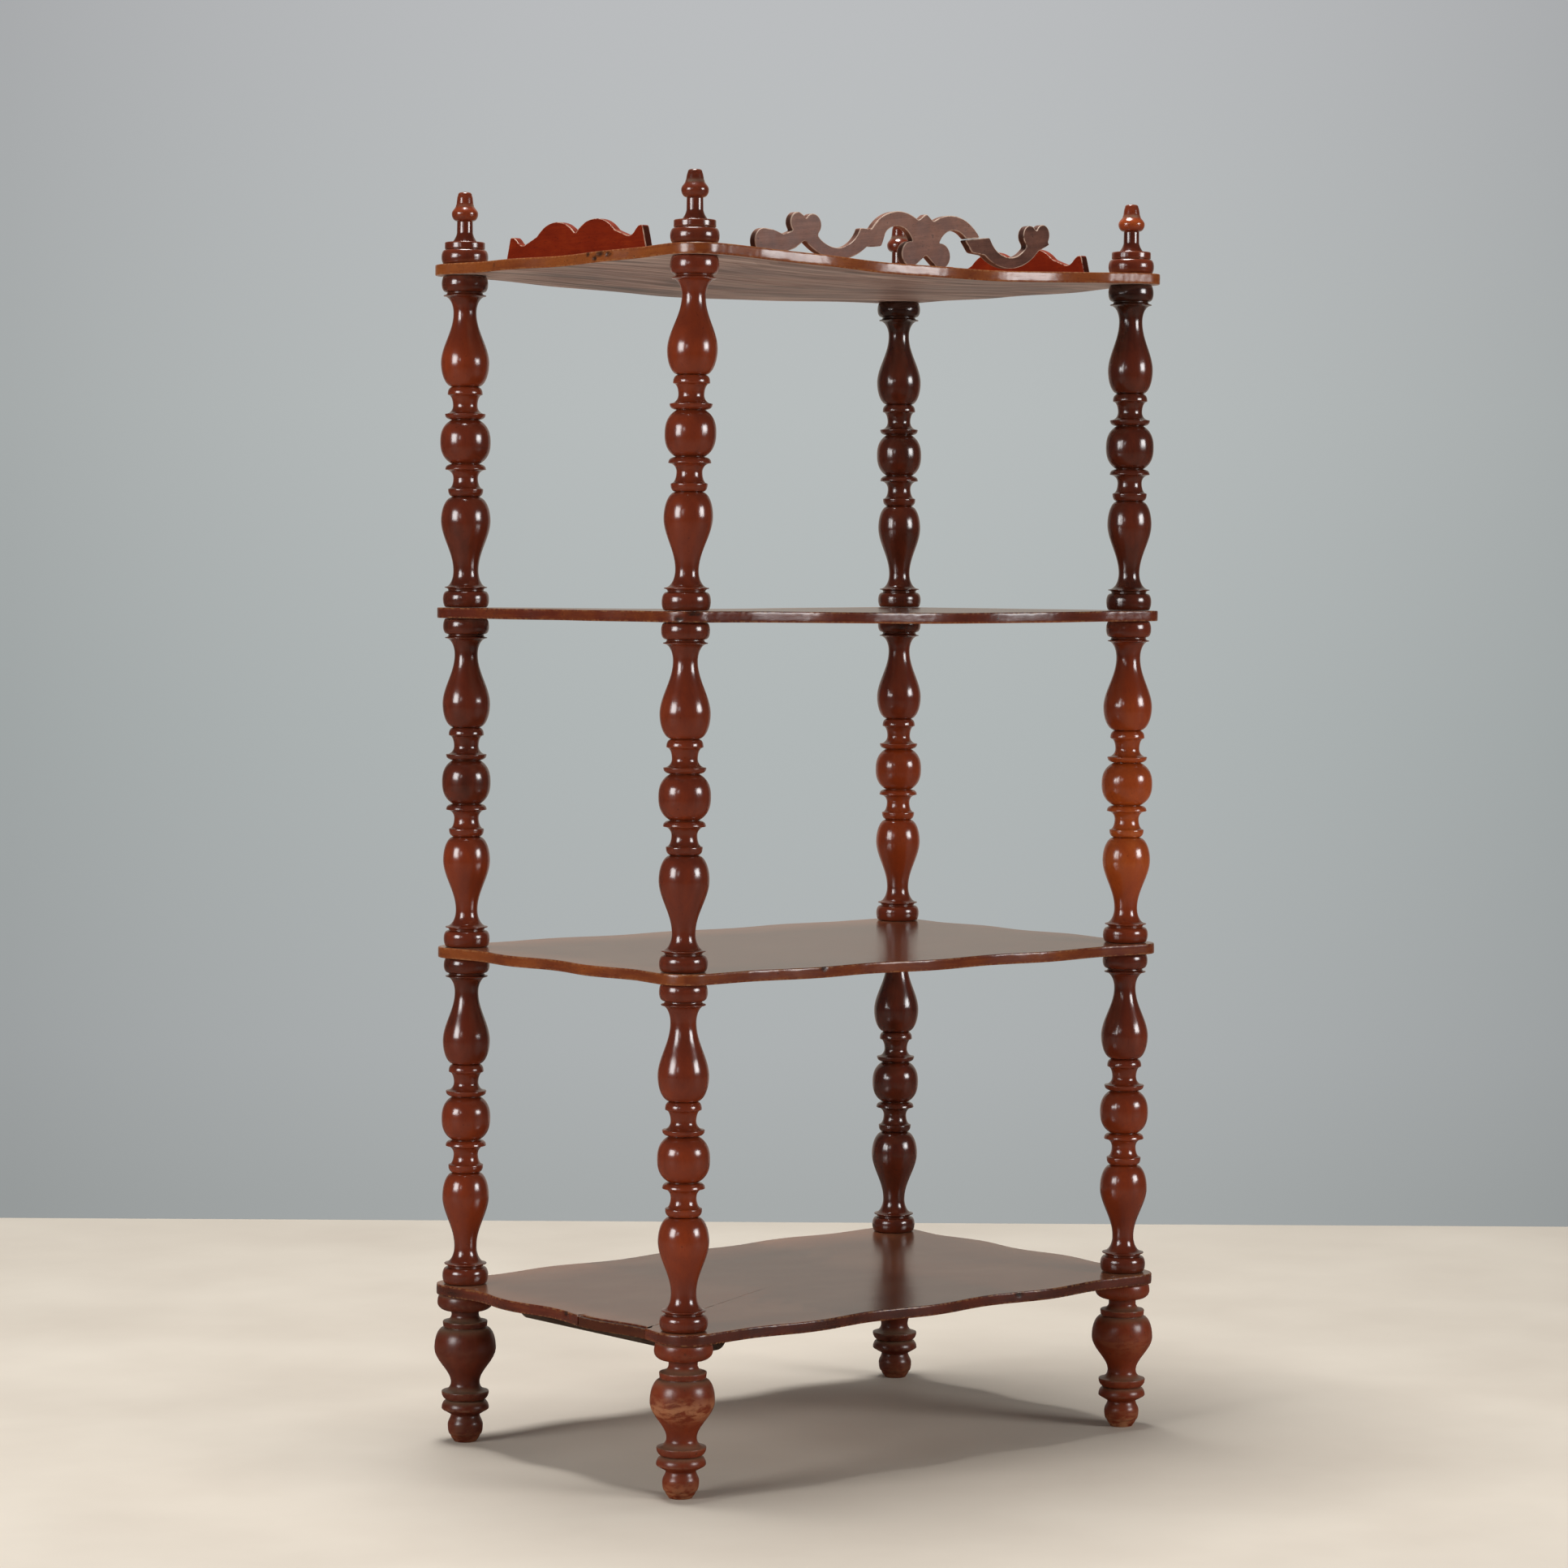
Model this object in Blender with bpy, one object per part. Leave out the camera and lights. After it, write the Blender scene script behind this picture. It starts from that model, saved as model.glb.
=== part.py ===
# A four-tier whatnot: wavy-edged shelves threaded on four turned posts, with a low gallery round the top.
# Metres, +Z up. The origin is on the floor, midway between the posts. The open front faces -Y.

import math

import bmesh
import bpy
from mathutils import Matrix

# Posts
post_spacing_x = 0.5994
post_spacing_y = 0.3677
foot_height = 0.1547
spindle_length = 0.3411
finial_height = 0.0756
seat_gap = 0.0003
turning_sides = 10

# Shelves
shelf_thickness = 0.011
shelf_ear_radius = 0.0285
long_edge_overhang = 0.0325
long_edge_wave = 0.0043
long_edge_crests = 3
long_wave_margin = 0.060
short_edge_overhang = 0.0258
short_edge_wave = 0.0042
short_edge_crests = 2
short_wave_margin = 0.048
points_per_wave = 6
ear_steps = 4

# Tenons, which pass through the shelf corners into a socket below
tenon_radius = 0.0085
tenon_reach = 0.018
tenon_clearance = 0.0003
socket_end_clearance = 0.002

# Spindles, from the middle of the ball outwards to either end
ball_radius = 0.0258
ball_half_height = 0.0225
groove_radius = 0.0148
lip_radius = 0.0213
lip_height = 0.0060
cove_radius = 0.0130
cove_fall = 0.0060
cove_height = 0.01455
ring_radius = 0.0183
ring_height = 0.0077
ring_groove_radius = 0.0136
vase_radius = 0.0250
belly_height = 0.0250
neck_radius = 0.0121
flare_radius = 0.0224
flare_height = 0.0220
collar_groove_radius = 0.0190
collar_groove_height = 0.0030
collar_radius = 0.0241
collar_edge_radius = 0.0207
collar_height = 0.0158

# Feet, from the floor up
toe_tip_radius = 0.0128
toe_radius = 0.0183
toe_height = 0.0275
toe_neck_radius = 0.0152
foot_ring_radius = 0.0241
foot_ring_face_height = 0.0052
foot_ring_slope_height = 0.0081
foot_ring_groove_radius = 0.0178
foot_neck_radius = 0.0150
foot_neck_height = 0.0040
foot_ball_radius = 0.0325
foot_ball_drop = 0.0225
foot_ball_top_radius = 0.0222
foot_lip_radius = 0.0236
foot_lip_height = 0.0055
foot_cove_radius = 0.0145
foot_cove_height = 0.0125
foot_disc_radius = 0.0290
foot_disc_top_radius = 0.0262
foot_disc_height = 0.0181

# Finials, from the shelf up
finial_ring_radius = 0.0243
finial_ring_edge_radius = 0.0205
finial_ring_height = 0.0165
finial_disc_radius = 0.0200
finial_disc_height = 0.0082
finial_foot_radius = 0.0128
finial_neck_radius = 0.0080
finial_ball_radius = 0.0134
finial_ball_height = 0.0156
finial_waist_radius = 0.0090
finial_cap_radius = 0.0080
finial_cap_height = 0.0103
finial_tip_radius = 0.0046
finial_tip_height = 0.0033

# Gallery
gallery_thickness = 0.0085
fret_inset = 0.0198
fret_finial_gap = 0.0504
broken_scroll_tilt = 4.5
broken_scroll_twist = 4.4
end_board_inset = 0.0285
end_board_finial_gap = 0.0440
end_board_height = 0.0360
end_board_notch_height = 0.0226
end_board_hump_offset = 0.0320
end_board_cove_height = 0.0150
end_board_cove_radius = 0.0120
end_board_cove_inset = 0.0150
end_board_horn_height = 0.0240
end_board_horn_width = 0.0060
end_board_slope = 0.0070
left_end_board_shift = 0.0060

# Pegs that stand the gallery on the top shelf
peg_radius = 0.0025
peg_depth_in_shelf = 0.0070
peg_depth_in_board = 0.0070
peg_clearance = 0.0003
peg_end_clearance = 0.0006
peg_sides = 8
end_board_peg_spacing = 0.090

# Battens and their screws under the bottom shelf
batten_inset = 0.0548
batten_width = 0.0560
batten_chamfer = 0.0070
batten_thickness = 0.0210
batten_length = 0.2700
batten_offset = 0.0120
screw_spacing = 0.1800
screw_head_radius = 0.0042
screw_head_height = 0.0030
screw_shank_radius = 0.0021
screw_bite = 0.0070
screw_clearance = 0.0003
screw_sides = 8

# The repair strip let into the bottom shelf's right-hand edge, near the rear right post
strip_far_from_post = 0.1360
strip_near_post = 0.0340
strip_depth = 0.0060
strip_thickness = 0.0098
strip_points = 6

# The rectangle of each shelf's top that is clear of the posts and the gallery
clear_of_posts = 0.045

# Worked out from the sizes above
half_x = post_spacing_x / 2
half_y = post_spacing_y / 2
taper_height = spindle_length / 2 - (
    ball_half_height + lip_height + cove_fall + cove_height + ring_height + belly_height
    + flare_height + collar_groove_height + collar_height
)
foot_ball_rise = foot_height - (
    toe_height + 2 * (foot_ring_face_height + foot_ring_slope_height) + foot_neck_height
    + foot_ball_drop + foot_lip_height + foot_cove_height + foot_disc_height
)
finial_neck_height = finial_height - (
    finial_ring_height + finial_disc_height + finial_ball_height + finial_cap_height + finial_tip_height
)
tier_pitch = shelf_thickness + spindle_length + 2 * seat_gap
socket_depth = tenon_reach + socket_end_clearance
tenon_length = shelf_thickness + 2 * seat_gap + tenon_reach
posts = {
    "rear_right": (half_x, half_y),
    "rear_left": (-half_x, half_y),
    "front_right": (half_x, -half_y),
    "front_left": (-half_x, -half_y),
}
tiers = ("bottom", "lower_middle", "upper_middle", "top")
shelf_undersides = [foot_height + seat_gap + tier * tier_pitch for tier in range(len(tiers))]
top_of_shelves = shelf_undersides[-1] + shelf_thickness


def wood(name, colour, roughness):
    material = bpy.data.materials.new(name)
    material.use_nodes = True
    shader = material.node_tree.nodes["Principled BSDF"]
    shader.inputs["Base Color"].default_value = (*colour, 1.0)
    shader.inputs["Roughness"].default_value = roughness
    return material


def place(name, mesh, material, location=(0, 0, 0)):
    thing = bpy.data.objects.new(name, mesh)
    if not mesh.materials:
        mesh.materials.append(material)
    thing.location = location
    bpy.context.scene.collection.objects.link(thing)
    return thing


def hide(cutter):
    cutter.hide_render = True
    cutter.display_type = "WIRE"
    return cutter


def cut(thing, cutter):
    modifier = thing.modifiers.new(cutter.name, "BOOLEAN")
    modifier.operation = "DIFFERENCE"
    modifier.solver = "EXACT"
    modifier.object = cutter


def finished(bm, name):
    bmesh.ops.recalc_face_normals(bm, faces=bm.faces)
    mesh = bpy.data.meshes.new(name)
    bm.to_mesh(mesh)
    bm.free()
    mesh.shade_smooth()
    mesh.set_sharp_from_angle(angle=math.radians(38))
    return mesh


# A profile of (radius, height) points, from the axis to the axis, spun round Z.
def turned(name, profile, sides):
    bm = bmesh.new()
    points = [bm.verts.new((radius, 0, height)) for radius, height in profile]
    lines = [bm.edges.new(pair) for pair in zip(points, points[1:])]
    bmesh.ops.spin(
        bm, geom=points + lines, cent=(0, 0, 0), axis=(0, 0, 1), angle=2 * math.pi, steps=sides, use_merge=True
    )
    bmesh.ops.remove_doubles(bm, verts=bm.verts, dist=1e-6)
    return finished(bm, name)


# A closed outline of (x, y) points, raised by the thickness.
def board(name, outline, thickness):
    bm = bmesh.new()
    face = bm.faces.new([bm.verts.new((x, y, 0)) for x, y in outline])
    raised = bmesh.ops.extrude_face_region(bm, geom=[face])["geom"]
    top = [item for item in raised if isinstance(item, bmesh.types.BMVert)]
    bmesh.ops.translate(bm, verts=top, vec=(0, 0, thickness))
    return finished(bm, name)


# A shelf board, whose top has the clear rectangle as a face of its own.
def shelf_mesh(name):
    bm = bmesh.new()
    outline = shelf_outline()
    low = [bm.verts.new((x, y, 0)) for x, y in outline]
    high = [bm.verts.new((x, y, shelf_thickness)) for x, y in outline]
    bm.faces.new(low)
    for index in range(len(outline)):
        after = (index + 1) % len(outline)
        bm.faces.new([low[index], low[after], high[after], high[index]])
    x, y = half_x - clear_of_posts, half_y - clear_of_posts
    clear = [bm.verts.new((*corner, shelf_thickness)) for corner in ((x, y), (-x, y), (-x, -y), (x, -y))]
    bm.faces.new(clear)
    rims = [bm.edges.get((ring[index - 1], ring[index])) for ring in (high, clear) for index in range(len(ring))]
    bmesh.ops.triangle_fill(bm, edges=rims, use_beauty=True)
    return finished(bm, name)


# A quarter of an ellipse from start to end, without its start. It leaves sideways or upwards.
def quarter(start, end, steps, sideways_first):
    points = []
    for step in range(1, steps + 1):
        angle = math.pi / 2 * step / steps
        early, late = math.sin(angle), 1 - math.cos(angle)
        across, up = (early, late) if sideways_first else (late, early)
        points.append((start[0] + (end[0] - start[0]) * across, start[1] + (end[1] - start[1]) * up))
    return points


# A long S-curve between two radii, without its start.
def taper(start, end, steps):
    points = []
    for step in range(1, steps + 1):
        share = step / steps
        ease = (1 - math.cos(math.pi * share)) / 2
        points.append((start[0] + (end[0] - start[0]) * ease, start[1] + (end[1] - start[1]) * share))
    return points


# A rounded bead between two edge radii, without its start.
def bead(start, crest_radius, end, steps):
    points = []
    for step in range(1, steps + 1):
        share = step / steps
        edge = start[0] + (end[0] - start[0]) * share
        swell = (crest_radius - edge) * math.sin(math.pi * share)
        height = start[1] + (end[1] - start[1]) * (1 - math.cos(math.pi * share)) / 2
        points.append((edge + swell, height))
    return points


def arc(centre, radius, start_degrees, end_degrees, steps):
    points = []
    for step in range(steps + 1):
        angle = math.radians(start_degrees + (end_degrees - start_degrees) * step / steps)
        points.append((centre[0] + radius * math.cos(angle), centre[1] + radius * math.sin(angle)))
    return points


# The tenon below a shoulder at height 0, from the axis to the shoulder's inner edge.
def tenon_profile():
    return [(0, -tenon_length), (tenon_radius, -tenon_length), (tenon_radius, 0)]


# The socket down from a top face, from its mouth to the axis.
def socket_profile(top):
    radius = tenon_radius + tenon_clearance
    return [(radius, top), (radius, top - socket_depth), (0, top - socket_depth)]


# One half of the spindle, from the widest part of the ball to the end face.
def spindle_half():
    points = [(ball_radius, 0)]
    height = ball_half_height
    points += quarter(points[-1], (groove_radius, height), 2, False)
    height += lip_height
    points.append((lip_radius, height))
    height += cove_fall
    points.append((cove_radius, height))
    height += cove_height
    points.append((ring_radius, height))
    height += ring_height
    points.append((ring_groove_radius, height))
    height += belly_height
    points += quarter(points[-1], (vase_radius, height), 2, True)
    height += taper_height
    points += taper(points[-1], (neck_radius, height), 3)
    height += flare_height
    points += quarter(points[-1], (flare_radius, height), 2, False)
    height += collar_groove_height
    points.append((collar_groove_radius, height))
    height += collar_height
    points += bead(points[-1], collar_radius, (collar_edge_radius, height), 2)
    return points


def spindle_profile():
    upper = spindle_half()
    lower = [(radius, -height) for radius, height in reversed(upper[1:])]
    outside = [(radius, height + spindle_length / 2) for radius, height in lower + upper]
    return tenon_profile() + outside + socket_profile(spindle_length)


def foot_profile():
    height = toe_height
    points = [(0, 0), (toe_tip_radius, 0)]
    points += bead(points[-1], toe_radius, (toe_neck_radius, height), 3)
    height += foot_ring_face_height
    points.append((foot_ring_radius, height))
    height += foot_ring_slope_height
    points.append((foot_ring_groove_radius, height))
    height += foot_ring_slope_height
    points.append((foot_ring_radius, height))
    height += foot_ring_face_height
    points.append((foot_neck_radius, height))
    height += foot_neck_height
    points.append((foot_neck_radius, height))
    height += foot_ball_rise
    points += taper(points[-1], (foot_ball_radius, height), 3)
    height += foot_ball_drop
    points += quarter(points[-1], (foot_ball_top_radius, height), 2, False)
    height += foot_lip_height
    points.append((foot_lip_radius, height))
    height += foot_cove_height
    points += quarter(points[-1], (foot_cove_radius, height - foot_cove_height / 2), 1, True)
    points.append((foot_cove_radius, height))
    points += quarter(points[-1], (foot_disc_radius, height + foot_disc_height / 2), 2, True)
    height += foot_disc_height
    points.append((foot_disc_top_radius, height))
    return points + socket_profile(height)


def finial_profile():
    points = [(finial_ring_edge_radius, 0)]
    height = finial_ring_height
    points += bead(points[-1], finial_ring_radius, (finial_disc_radius, height), 2)
    height += finial_disc_height
    points.append((finial_disc_radius, height))
    points.append((finial_foot_radius, height))
    height += finial_neck_height
    points += quarter(points[-1], (finial_neck_radius, height), 2, True)
    height += finial_ball_height
    points += bead(points[-1], finial_ball_radius, (finial_waist_radius, height), 3)
    height += finial_cap_height
    points.append((finial_cap_radius, height))
    height += finial_tip_height
    points.append((finial_tip_radius, height))
    points.append((0, height))
    return tenon_profile() + points


# The wavy edge between two ears, as (distance along the side, distance out from the post line).
def wavy_edge(spacing, margin, crests, overhang, wave):
    half = spacing / 2 - margin
    steps = crests * points_per_wave
    phase = 0 if crests % 2 else math.pi
    edge = []
    for step in range(steps + 1):
        along = half * (2 * step / steps - 1)
        turn = math.pi * crests * along / half + phase
        edge.append((along, overhang + wave * math.cos(turn)))
    return edge


def long_edge():
    return wavy_edge(post_spacing_x, long_wave_margin, long_edge_crests, long_edge_overhang, long_edge_wave)


def short_edge():
    return wavy_edge(post_spacing_y, short_wave_margin, short_edge_crests, short_edge_overhang, short_edge_wave)


# How far the short edge stands out from the post line, at any distance along it.
def short_edge_reach(along):
    half = half_y - short_wave_margin
    phase = 0 if short_edge_crests % 2 else math.pi
    return short_edge_overhang + short_edge_wave * math.cos(math.pi * short_edge_crests * along / half + phase)


def shelf_outline():
    ear = shelf_ear_radius
    outline = [(half_x + out, along) for along, out in short_edge()]
    outline += arc((half_x, half_y), ear, -20, 92, ear_steps)
    outline += [(-along, half_y + out) for along, out in long_edge()]
    outline += arc((-half_x, half_y), ear, 88, 200, ear_steps)
    outline += [(-half_x - out, -along) for along, out in short_edge()]
    outline += arc((-half_x, -half_y), ear, 160, 272, ear_steps)
    outline += [(along, -half_y - out) for along, out in long_edge()]
    outline += arc((half_x, -half_y), ear, -92, 20, ear_steps)
    return outline


# The fret is drawn in units of 1/225 of its half length, as (distance from its middle, height).
fret_half_length = half_x - finial_ring_radius - fret_finial_gap
fret_unit = fret_half_length / 225
arch_outer = arc((35, 5.4), 46.9, 122, 35, 5)
arch_inner = arc((38, 16), 22, 41, 158, 4)
middle_lobe = arc((20.5, 12.3), 12.3, 96, -128, 5)
scroll_inner = arc((120, 46), 35, 204, 313, 5)
inner_heart = arc((149.7, 30.7), 10.2, 232, 24, 4)
outer_heart = arc((169.3, 30.5), 10.2, 156, -50, 4)
end_lobe = arc((211.8, 8.1), 13.2, 100, -35, 4)
scroll_outer = arc((120.5, 63), 63, 310, 229.5, 5)
scroll_cusp = (161, 14.6)
block_corner = (88.6, 32.4)
break_gap = 0.5


def fret_sized(points):
    return [(u * fret_unit, v * fret_unit) for u, v in points]


def mirrored(points):
    return [(-u, v) for u, v in reversed(points)]


def fret_outline():
    apex, cusp, leg = (0, 52.3), (0, 12.3), (60.3, 16.8)
    scroll = [block_corner] + scroll_inner + inner_heart + outer_heart
    end = [(188, 17.7), (201.5, 20.8)] + end_lobe
    foot = [(198, 0), (185, 1.6), (173, 6), scroll_cusp] + scroll_outer
    right = arch_outer + scroll + end + foot + [leg] + arch_inner + middle_lobe
    left = arch_outer + arch_inner + middle_lobe
    return fret_sized([apex] + right + [cusp] + mirrored(left))


# The scroll that broke off the left-hand arch, without its lost end lobe.
def broken_scroll_outline():
    inner_end, break_line = (60.9, 18.2), [(51.4, 30.8), (arch_outer[-1][0], arch_outer[-1][1] - break_gap)]
    points = break_line + [block_corner] + scroll_inner + inner_heart + outer_heart
    return fret_sized(mirrored(points + [(179, 20.4), scroll_cusp] + scroll_outer + [inner_end]))


def end_board_half():
    length = half_y - finial_ring_radius - end_board_finial_gap
    horn = length - end_board_slope
    rise = end_board_height - end_board_notch_height
    hump_radius = (end_board_hump_offset**2 + rise**2) / (2 * rise)
    hump = (end_board_hump_offset, end_board_height - hump_radius)
    cove = (horn - end_board_horn_width - end_board_cove_inset, end_board_cove_height + end_board_cove_radius)
    points = [(length, 0), (horn, end_board_horn_height), (horn - end_board_horn_width, end_board_horn_height)]
    points += arc(cove, end_board_cove_radius, -38, -110, 3)
    points += arc(hump, hump_radius, 45, 128, 5)
    return points


# An upright board whose outline is drawn along X and up, then turned about Z.
def upright(name, outline, thickness, material, location, turn_degrees):
    mesh = board(name, outline, thickness)
    mesh.transform(Matrix.Translation((0, 0, -thickness / 2)))
    mesh.transform(Matrix.Rotation(math.radians(90), 4, "X"))
    mesh.transform(Matrix.Rotation(math.radians(turn_degrees), 4, "Z"))
    return place(name, mesh, material, location)


def make_shelves(material):
    shelves = {}
    for tier, underside in zip(tiers, shelf_undersides):
        shelves[tier] = place(f"shelf_{tier}", shelf_mesh(f"shelf_{tier}"), material, (0, 0, underside))
    radius = tenon_radius + tenon_clearance
    height = top_of_shelves + shelf_thickness
    profile = [(0, 0), (radius, 0), (radius, height), (0, height)]
    for post, (x, y) in posts.items():
        bore = hide(place(f"bore_{post}", turned(f"bore_{post}", profile, turning_sides), material, (x, y, 0)))
        for shelf in shelves.values():
            cut(shelf, bore)
    return shelves


def make_posts(material):
    foot = turned("foot", foot_profile(), turning_sides)
    spindle = turned("spindle", spindle_profile(), turning_sides)
    finial = turned("finial", finial_profile(), turning_sides)
    for post, (x, y) in posts.items():
        place(f"foot_{post}", foot, material, (x, y, 0))
        for tier, underside in zip(("lower", "middle", "upper"), shelf_undersides):
            seat = underside + shelf_thickness + seat_gap
            place(f"spindle_{tier}_{post}", spindle, material, (x, y, seat))
        place(f"finial_{post}", finial, material, (x, y, top_of_shelves + seat_gap))


# A hidden peg, half in the top shelf and half in the board that stands on it.
def peg(name, x, y, shelf, standing_board, material):
    low = -peg_depth_in_shelf
    high = seat_gap + peg_depth_in_board
    profile = [(0, low), (peg_radius, low), (peg_radius, high), (0, high)]
    place(name, turned(name, profile, peg_sides), material, (x, y, top_of_shelves))
    radius = peg_radius + peg_clearance
    low -= peg_end_clearance
    high += peg_end_clearance
    profile = [(0, low), (radius, low), (radius, high), (0, high)]
    hole = f"hole_for_{name}"
    cutter = hide(place(hole, turned(hole, profile, peg_sides), material, (x, y, top_of_shelves)))
    cut(shelf, cutter)
    cut(standing_board, cutter)


def make_fret(shelf, material, peg_material):
    y = half_y + shelf_ear_radius - fret_inset - gallery_thickness / 2
    seat = (0, y, top_of_shelves + seat_gap)
    fret = upright("fret_gallery", fret_outline(), gallery_thickness, material, seat, 0)
    scroll = upright("fret_broken_scroll", broken_scroll_outline(), gallery_thickness, material, seat, 0)
    pivot = (-arch_outer[-1][0] * fret_unit, 0, (arch_outer[-1][1] - break_gap) * fret_unit)
    tilt = Matrix.Rotation(math.radians(broken_scroll_tilt), 4, "Y")
    twist = Matrix.Rotation(math.radians(broken_scroll_twist), 4, "Z")
    back = Matrix.Translation([-along for along in pivot])
    scroll.data.transform(Matrix.Translation(pivot) @ twist @ tilt @ back)
    for name, along in (("left", -20.5), ("middle", 120.5), ("right", 205)):
        peg(f"peg_fret_{name}", along * fret_unit, y, shelf, fret, peg_material)


def make_end_boards(shelf, material, peg_material):
    half = end_board_half()
    outline = half + [(0, end_board_notch_height)] + mirrored(half)
    for side, sign in (("right", 1), ("left", -1)):
        x = sign * (half_x + shelf_ear_radius - end_board_inset - gallery_thickness / 2)
        y = left_end_board_shift if side == "left" else 0
        seat = (x, y, top_of_shelves + seat_gap)
        end_board = upright(f"gallery_end_{side}", outline, gallery_thickness, material, seat, 90)
        for end, along in (("rear", end_board_peg_spacing / 2), ("front", -end_board_peg_spacing / 2)):
            peg(f"peg_{side}_{end}", x, y + along, shelf, end_board, peg_material)


def make_battens(shelf, material, screw_material):
    top = shelf_undersides[0] - seat_gap
    half_width = batten_width / 2
    section = [(-half_width, top), (half_width, top)]
    for sign in (1, -1):
        section.append((sign * half_width, top - batten_thickness + batten_chamfer))
        section.append((sign * (half_width - batten_chamfer), top - batten_thickness))
    section = section[:4] + section[:3:-1]
    reach = screw_bite + seat_gap
    slope = screw_head_height
    for side, sign in (("right", 1), ("left", -1)):
        x = sign * (half_x - batten_inset)
        y = sign * batten_offset
        batten = upright(f"batten_{side}", section, batten_length, material, (x, y, 0), 0)
        for end, along in (("rear", screw_spacing / 2), ("front", -screw_spacing / 2)):
            spot = (x, y + along, top - batten_thickness)
            tip = batten_thickness + reach
            head, shank = screw_head_radius, screw_shank_radius
            gap = screw_clearance
            profile = [(0, gap), (head, gap), (shank, gap + slope), (shank, tip - shank), (0, tip)]
            name = f"screw_{side}_{end}"
            place(name, turned(name, profile, screw_sides), screw_material, spot)
            wide = [(0, -slope), (head + gap, -slope), (head + gap, gap), (shank + gap, gap + slope)]
            wide += [(shank + gap, tip + gap - shank), (0, tip + gap)]
            hole = f"hole_for_{name}"
            cutter = hide(place(hole, turned(hole, wide, screw_sides), screw_material, spot))
            cut(batten, cutter)
            cut(shelf, cutter)


# The strip follows the wavy edge. Its top lies a little below the shelf's.
def make_repair_strip(shelf, material):
    ends = (half_y - strip_far_from_post, half_y - strip_near_post)
    alongs = [ends[0] + (ends[1] - ends[0]) * step / strip_points for step in range(strip_points + 1)]
    inner = [(half_x + short_edge_reach(along) - strip_depth, along) for along in alongs]
    outside = half_x + 2 * short_edge_overhang
    slot_outline = inner + [(outside, ends[1]), (outside, ends[0])]
    slot = board("strip_slot", slot_outline, 3 * shelf_thickness)
    cut(shelf, hide(place("strip_slot", slot, material, (0, 0, shelf_undersides[0] - shelf_thickness))))
    inset = [ends[0] + seat_gap] + alongs[1:-1] + [ends[1] - seat_gap]
    strip = [(half_x + short_edge_reach(along) - strip_depth + seat_gap, along) for along in inset]
    strip += [(half_x + short_edge_reach(along), along) for along in reversed(inset)]
    mesh = board("edge_repair_strip", strip, strip_thickness)
    place("edge_repair_strip", mesh, material, (0, 0, shelf_undersides[0]))


def main():
    for thing in list(bpy.data.objects):
        bpy.data.objects.remove(thing)
    shelf_wood = wood("stained_shelf_board", (0.16, 0.055, 0.025), 0.35)
    post_wood = wood("polished_red_brown_turning", (0.19, 0.035, 0.015), 0.22)
    gallery_wood = wood("dull_fretted_board", (0.13, 0.055, 0.045), 0.5)
    raw_wood = wood("unpolished_batten", (0.10, 0.065, 0.045), 0.8)
    steel = wood("dark_steel_screw", (0.25, 0.23, 0.21), 0.45)
    steel.node_tree.nodes["Principled BSDF"].inputs["Metallic"].default_value = 1.0
    shelves = make_shelves(shelf_wood)
    make_posts(post_wood)
    make_fret(shelves["top"], gallery_wood, raw_wood)
    make_end_boards(shelves["top"], gallery_wood, raw_wood)
    make_battens(shelves["bottom"], raw_wood, steel)
    make_repair_strip(shelves["bottom"], shelf_wood)


main()
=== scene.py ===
# A four-tier whatnot in stained and polished hardwood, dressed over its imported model.
# Metres, +Z up. The open front faces -Y, and the corner nearest the camera is the rear right one.
import math
import random
from functools import partial
from types import SimpleNamespace

import bmesh
import bpy
import numpy as np
from mathutils import Matrix, Vector


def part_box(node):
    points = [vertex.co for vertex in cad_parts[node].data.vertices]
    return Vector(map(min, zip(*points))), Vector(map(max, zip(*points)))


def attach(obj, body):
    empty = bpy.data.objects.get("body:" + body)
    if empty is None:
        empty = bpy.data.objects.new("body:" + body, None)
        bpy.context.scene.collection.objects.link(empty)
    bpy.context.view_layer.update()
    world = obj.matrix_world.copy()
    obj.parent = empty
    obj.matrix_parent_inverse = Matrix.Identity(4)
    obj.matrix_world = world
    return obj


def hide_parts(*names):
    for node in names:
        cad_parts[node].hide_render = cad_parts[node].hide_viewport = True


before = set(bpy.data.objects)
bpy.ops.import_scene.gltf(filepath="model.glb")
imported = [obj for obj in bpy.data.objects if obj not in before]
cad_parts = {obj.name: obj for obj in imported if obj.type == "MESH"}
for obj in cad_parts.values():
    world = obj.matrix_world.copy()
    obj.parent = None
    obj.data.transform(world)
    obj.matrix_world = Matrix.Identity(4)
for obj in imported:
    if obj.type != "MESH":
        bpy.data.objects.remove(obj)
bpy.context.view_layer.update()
mm = 0.001
seatGap = 0.3  # left between stacked pieces, in millimetres
print("frame loaded:", len(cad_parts), "nodes")

tierNames = ("bottom", "lower_middle", "upper_middle", "top")
postNames = ("rear_right", "rear_left", "front_right", "front_left")


# A node's two corners in millimetres
def boxOf(node):
    return [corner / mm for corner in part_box(node)]


# Where the posts and boards stand, in millimetres
postPlace = {post: sum(boxOf(f"foot_{post}"), Vector()) / 2 for post in postNames}
halfX, halfY = postPlace["rear_right"].xy
shelfLow = {tier: boxOf(f"shelf_{tier}")[0].z for tier in tierNames}
shelfHigh = {tier: boxOf(f"shelf_{tier}")[1].z for tier in tierNames}

# How the old joints have settled: how far each post, in the order above, stands from square along X and Y
settled = {
    "floor": ((0, -6), (0, 0), (-1.3, 0), (0, 2.6)),
    "bottom": ((0, -1.9), (0, 0), (-0.8, 0), (2, 0)),
    "lower_middle": ((0, -5), (0.6, 0), (-1.7, 0), (0, 1.1)),
    "upper_middle": ((0, -3.9), (0, 0), (0, 0), (0, 0.9)),
    "top": ((-6, 0), (1.3, 0), (2.6, 0), (3.3, 0)),
}
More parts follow.
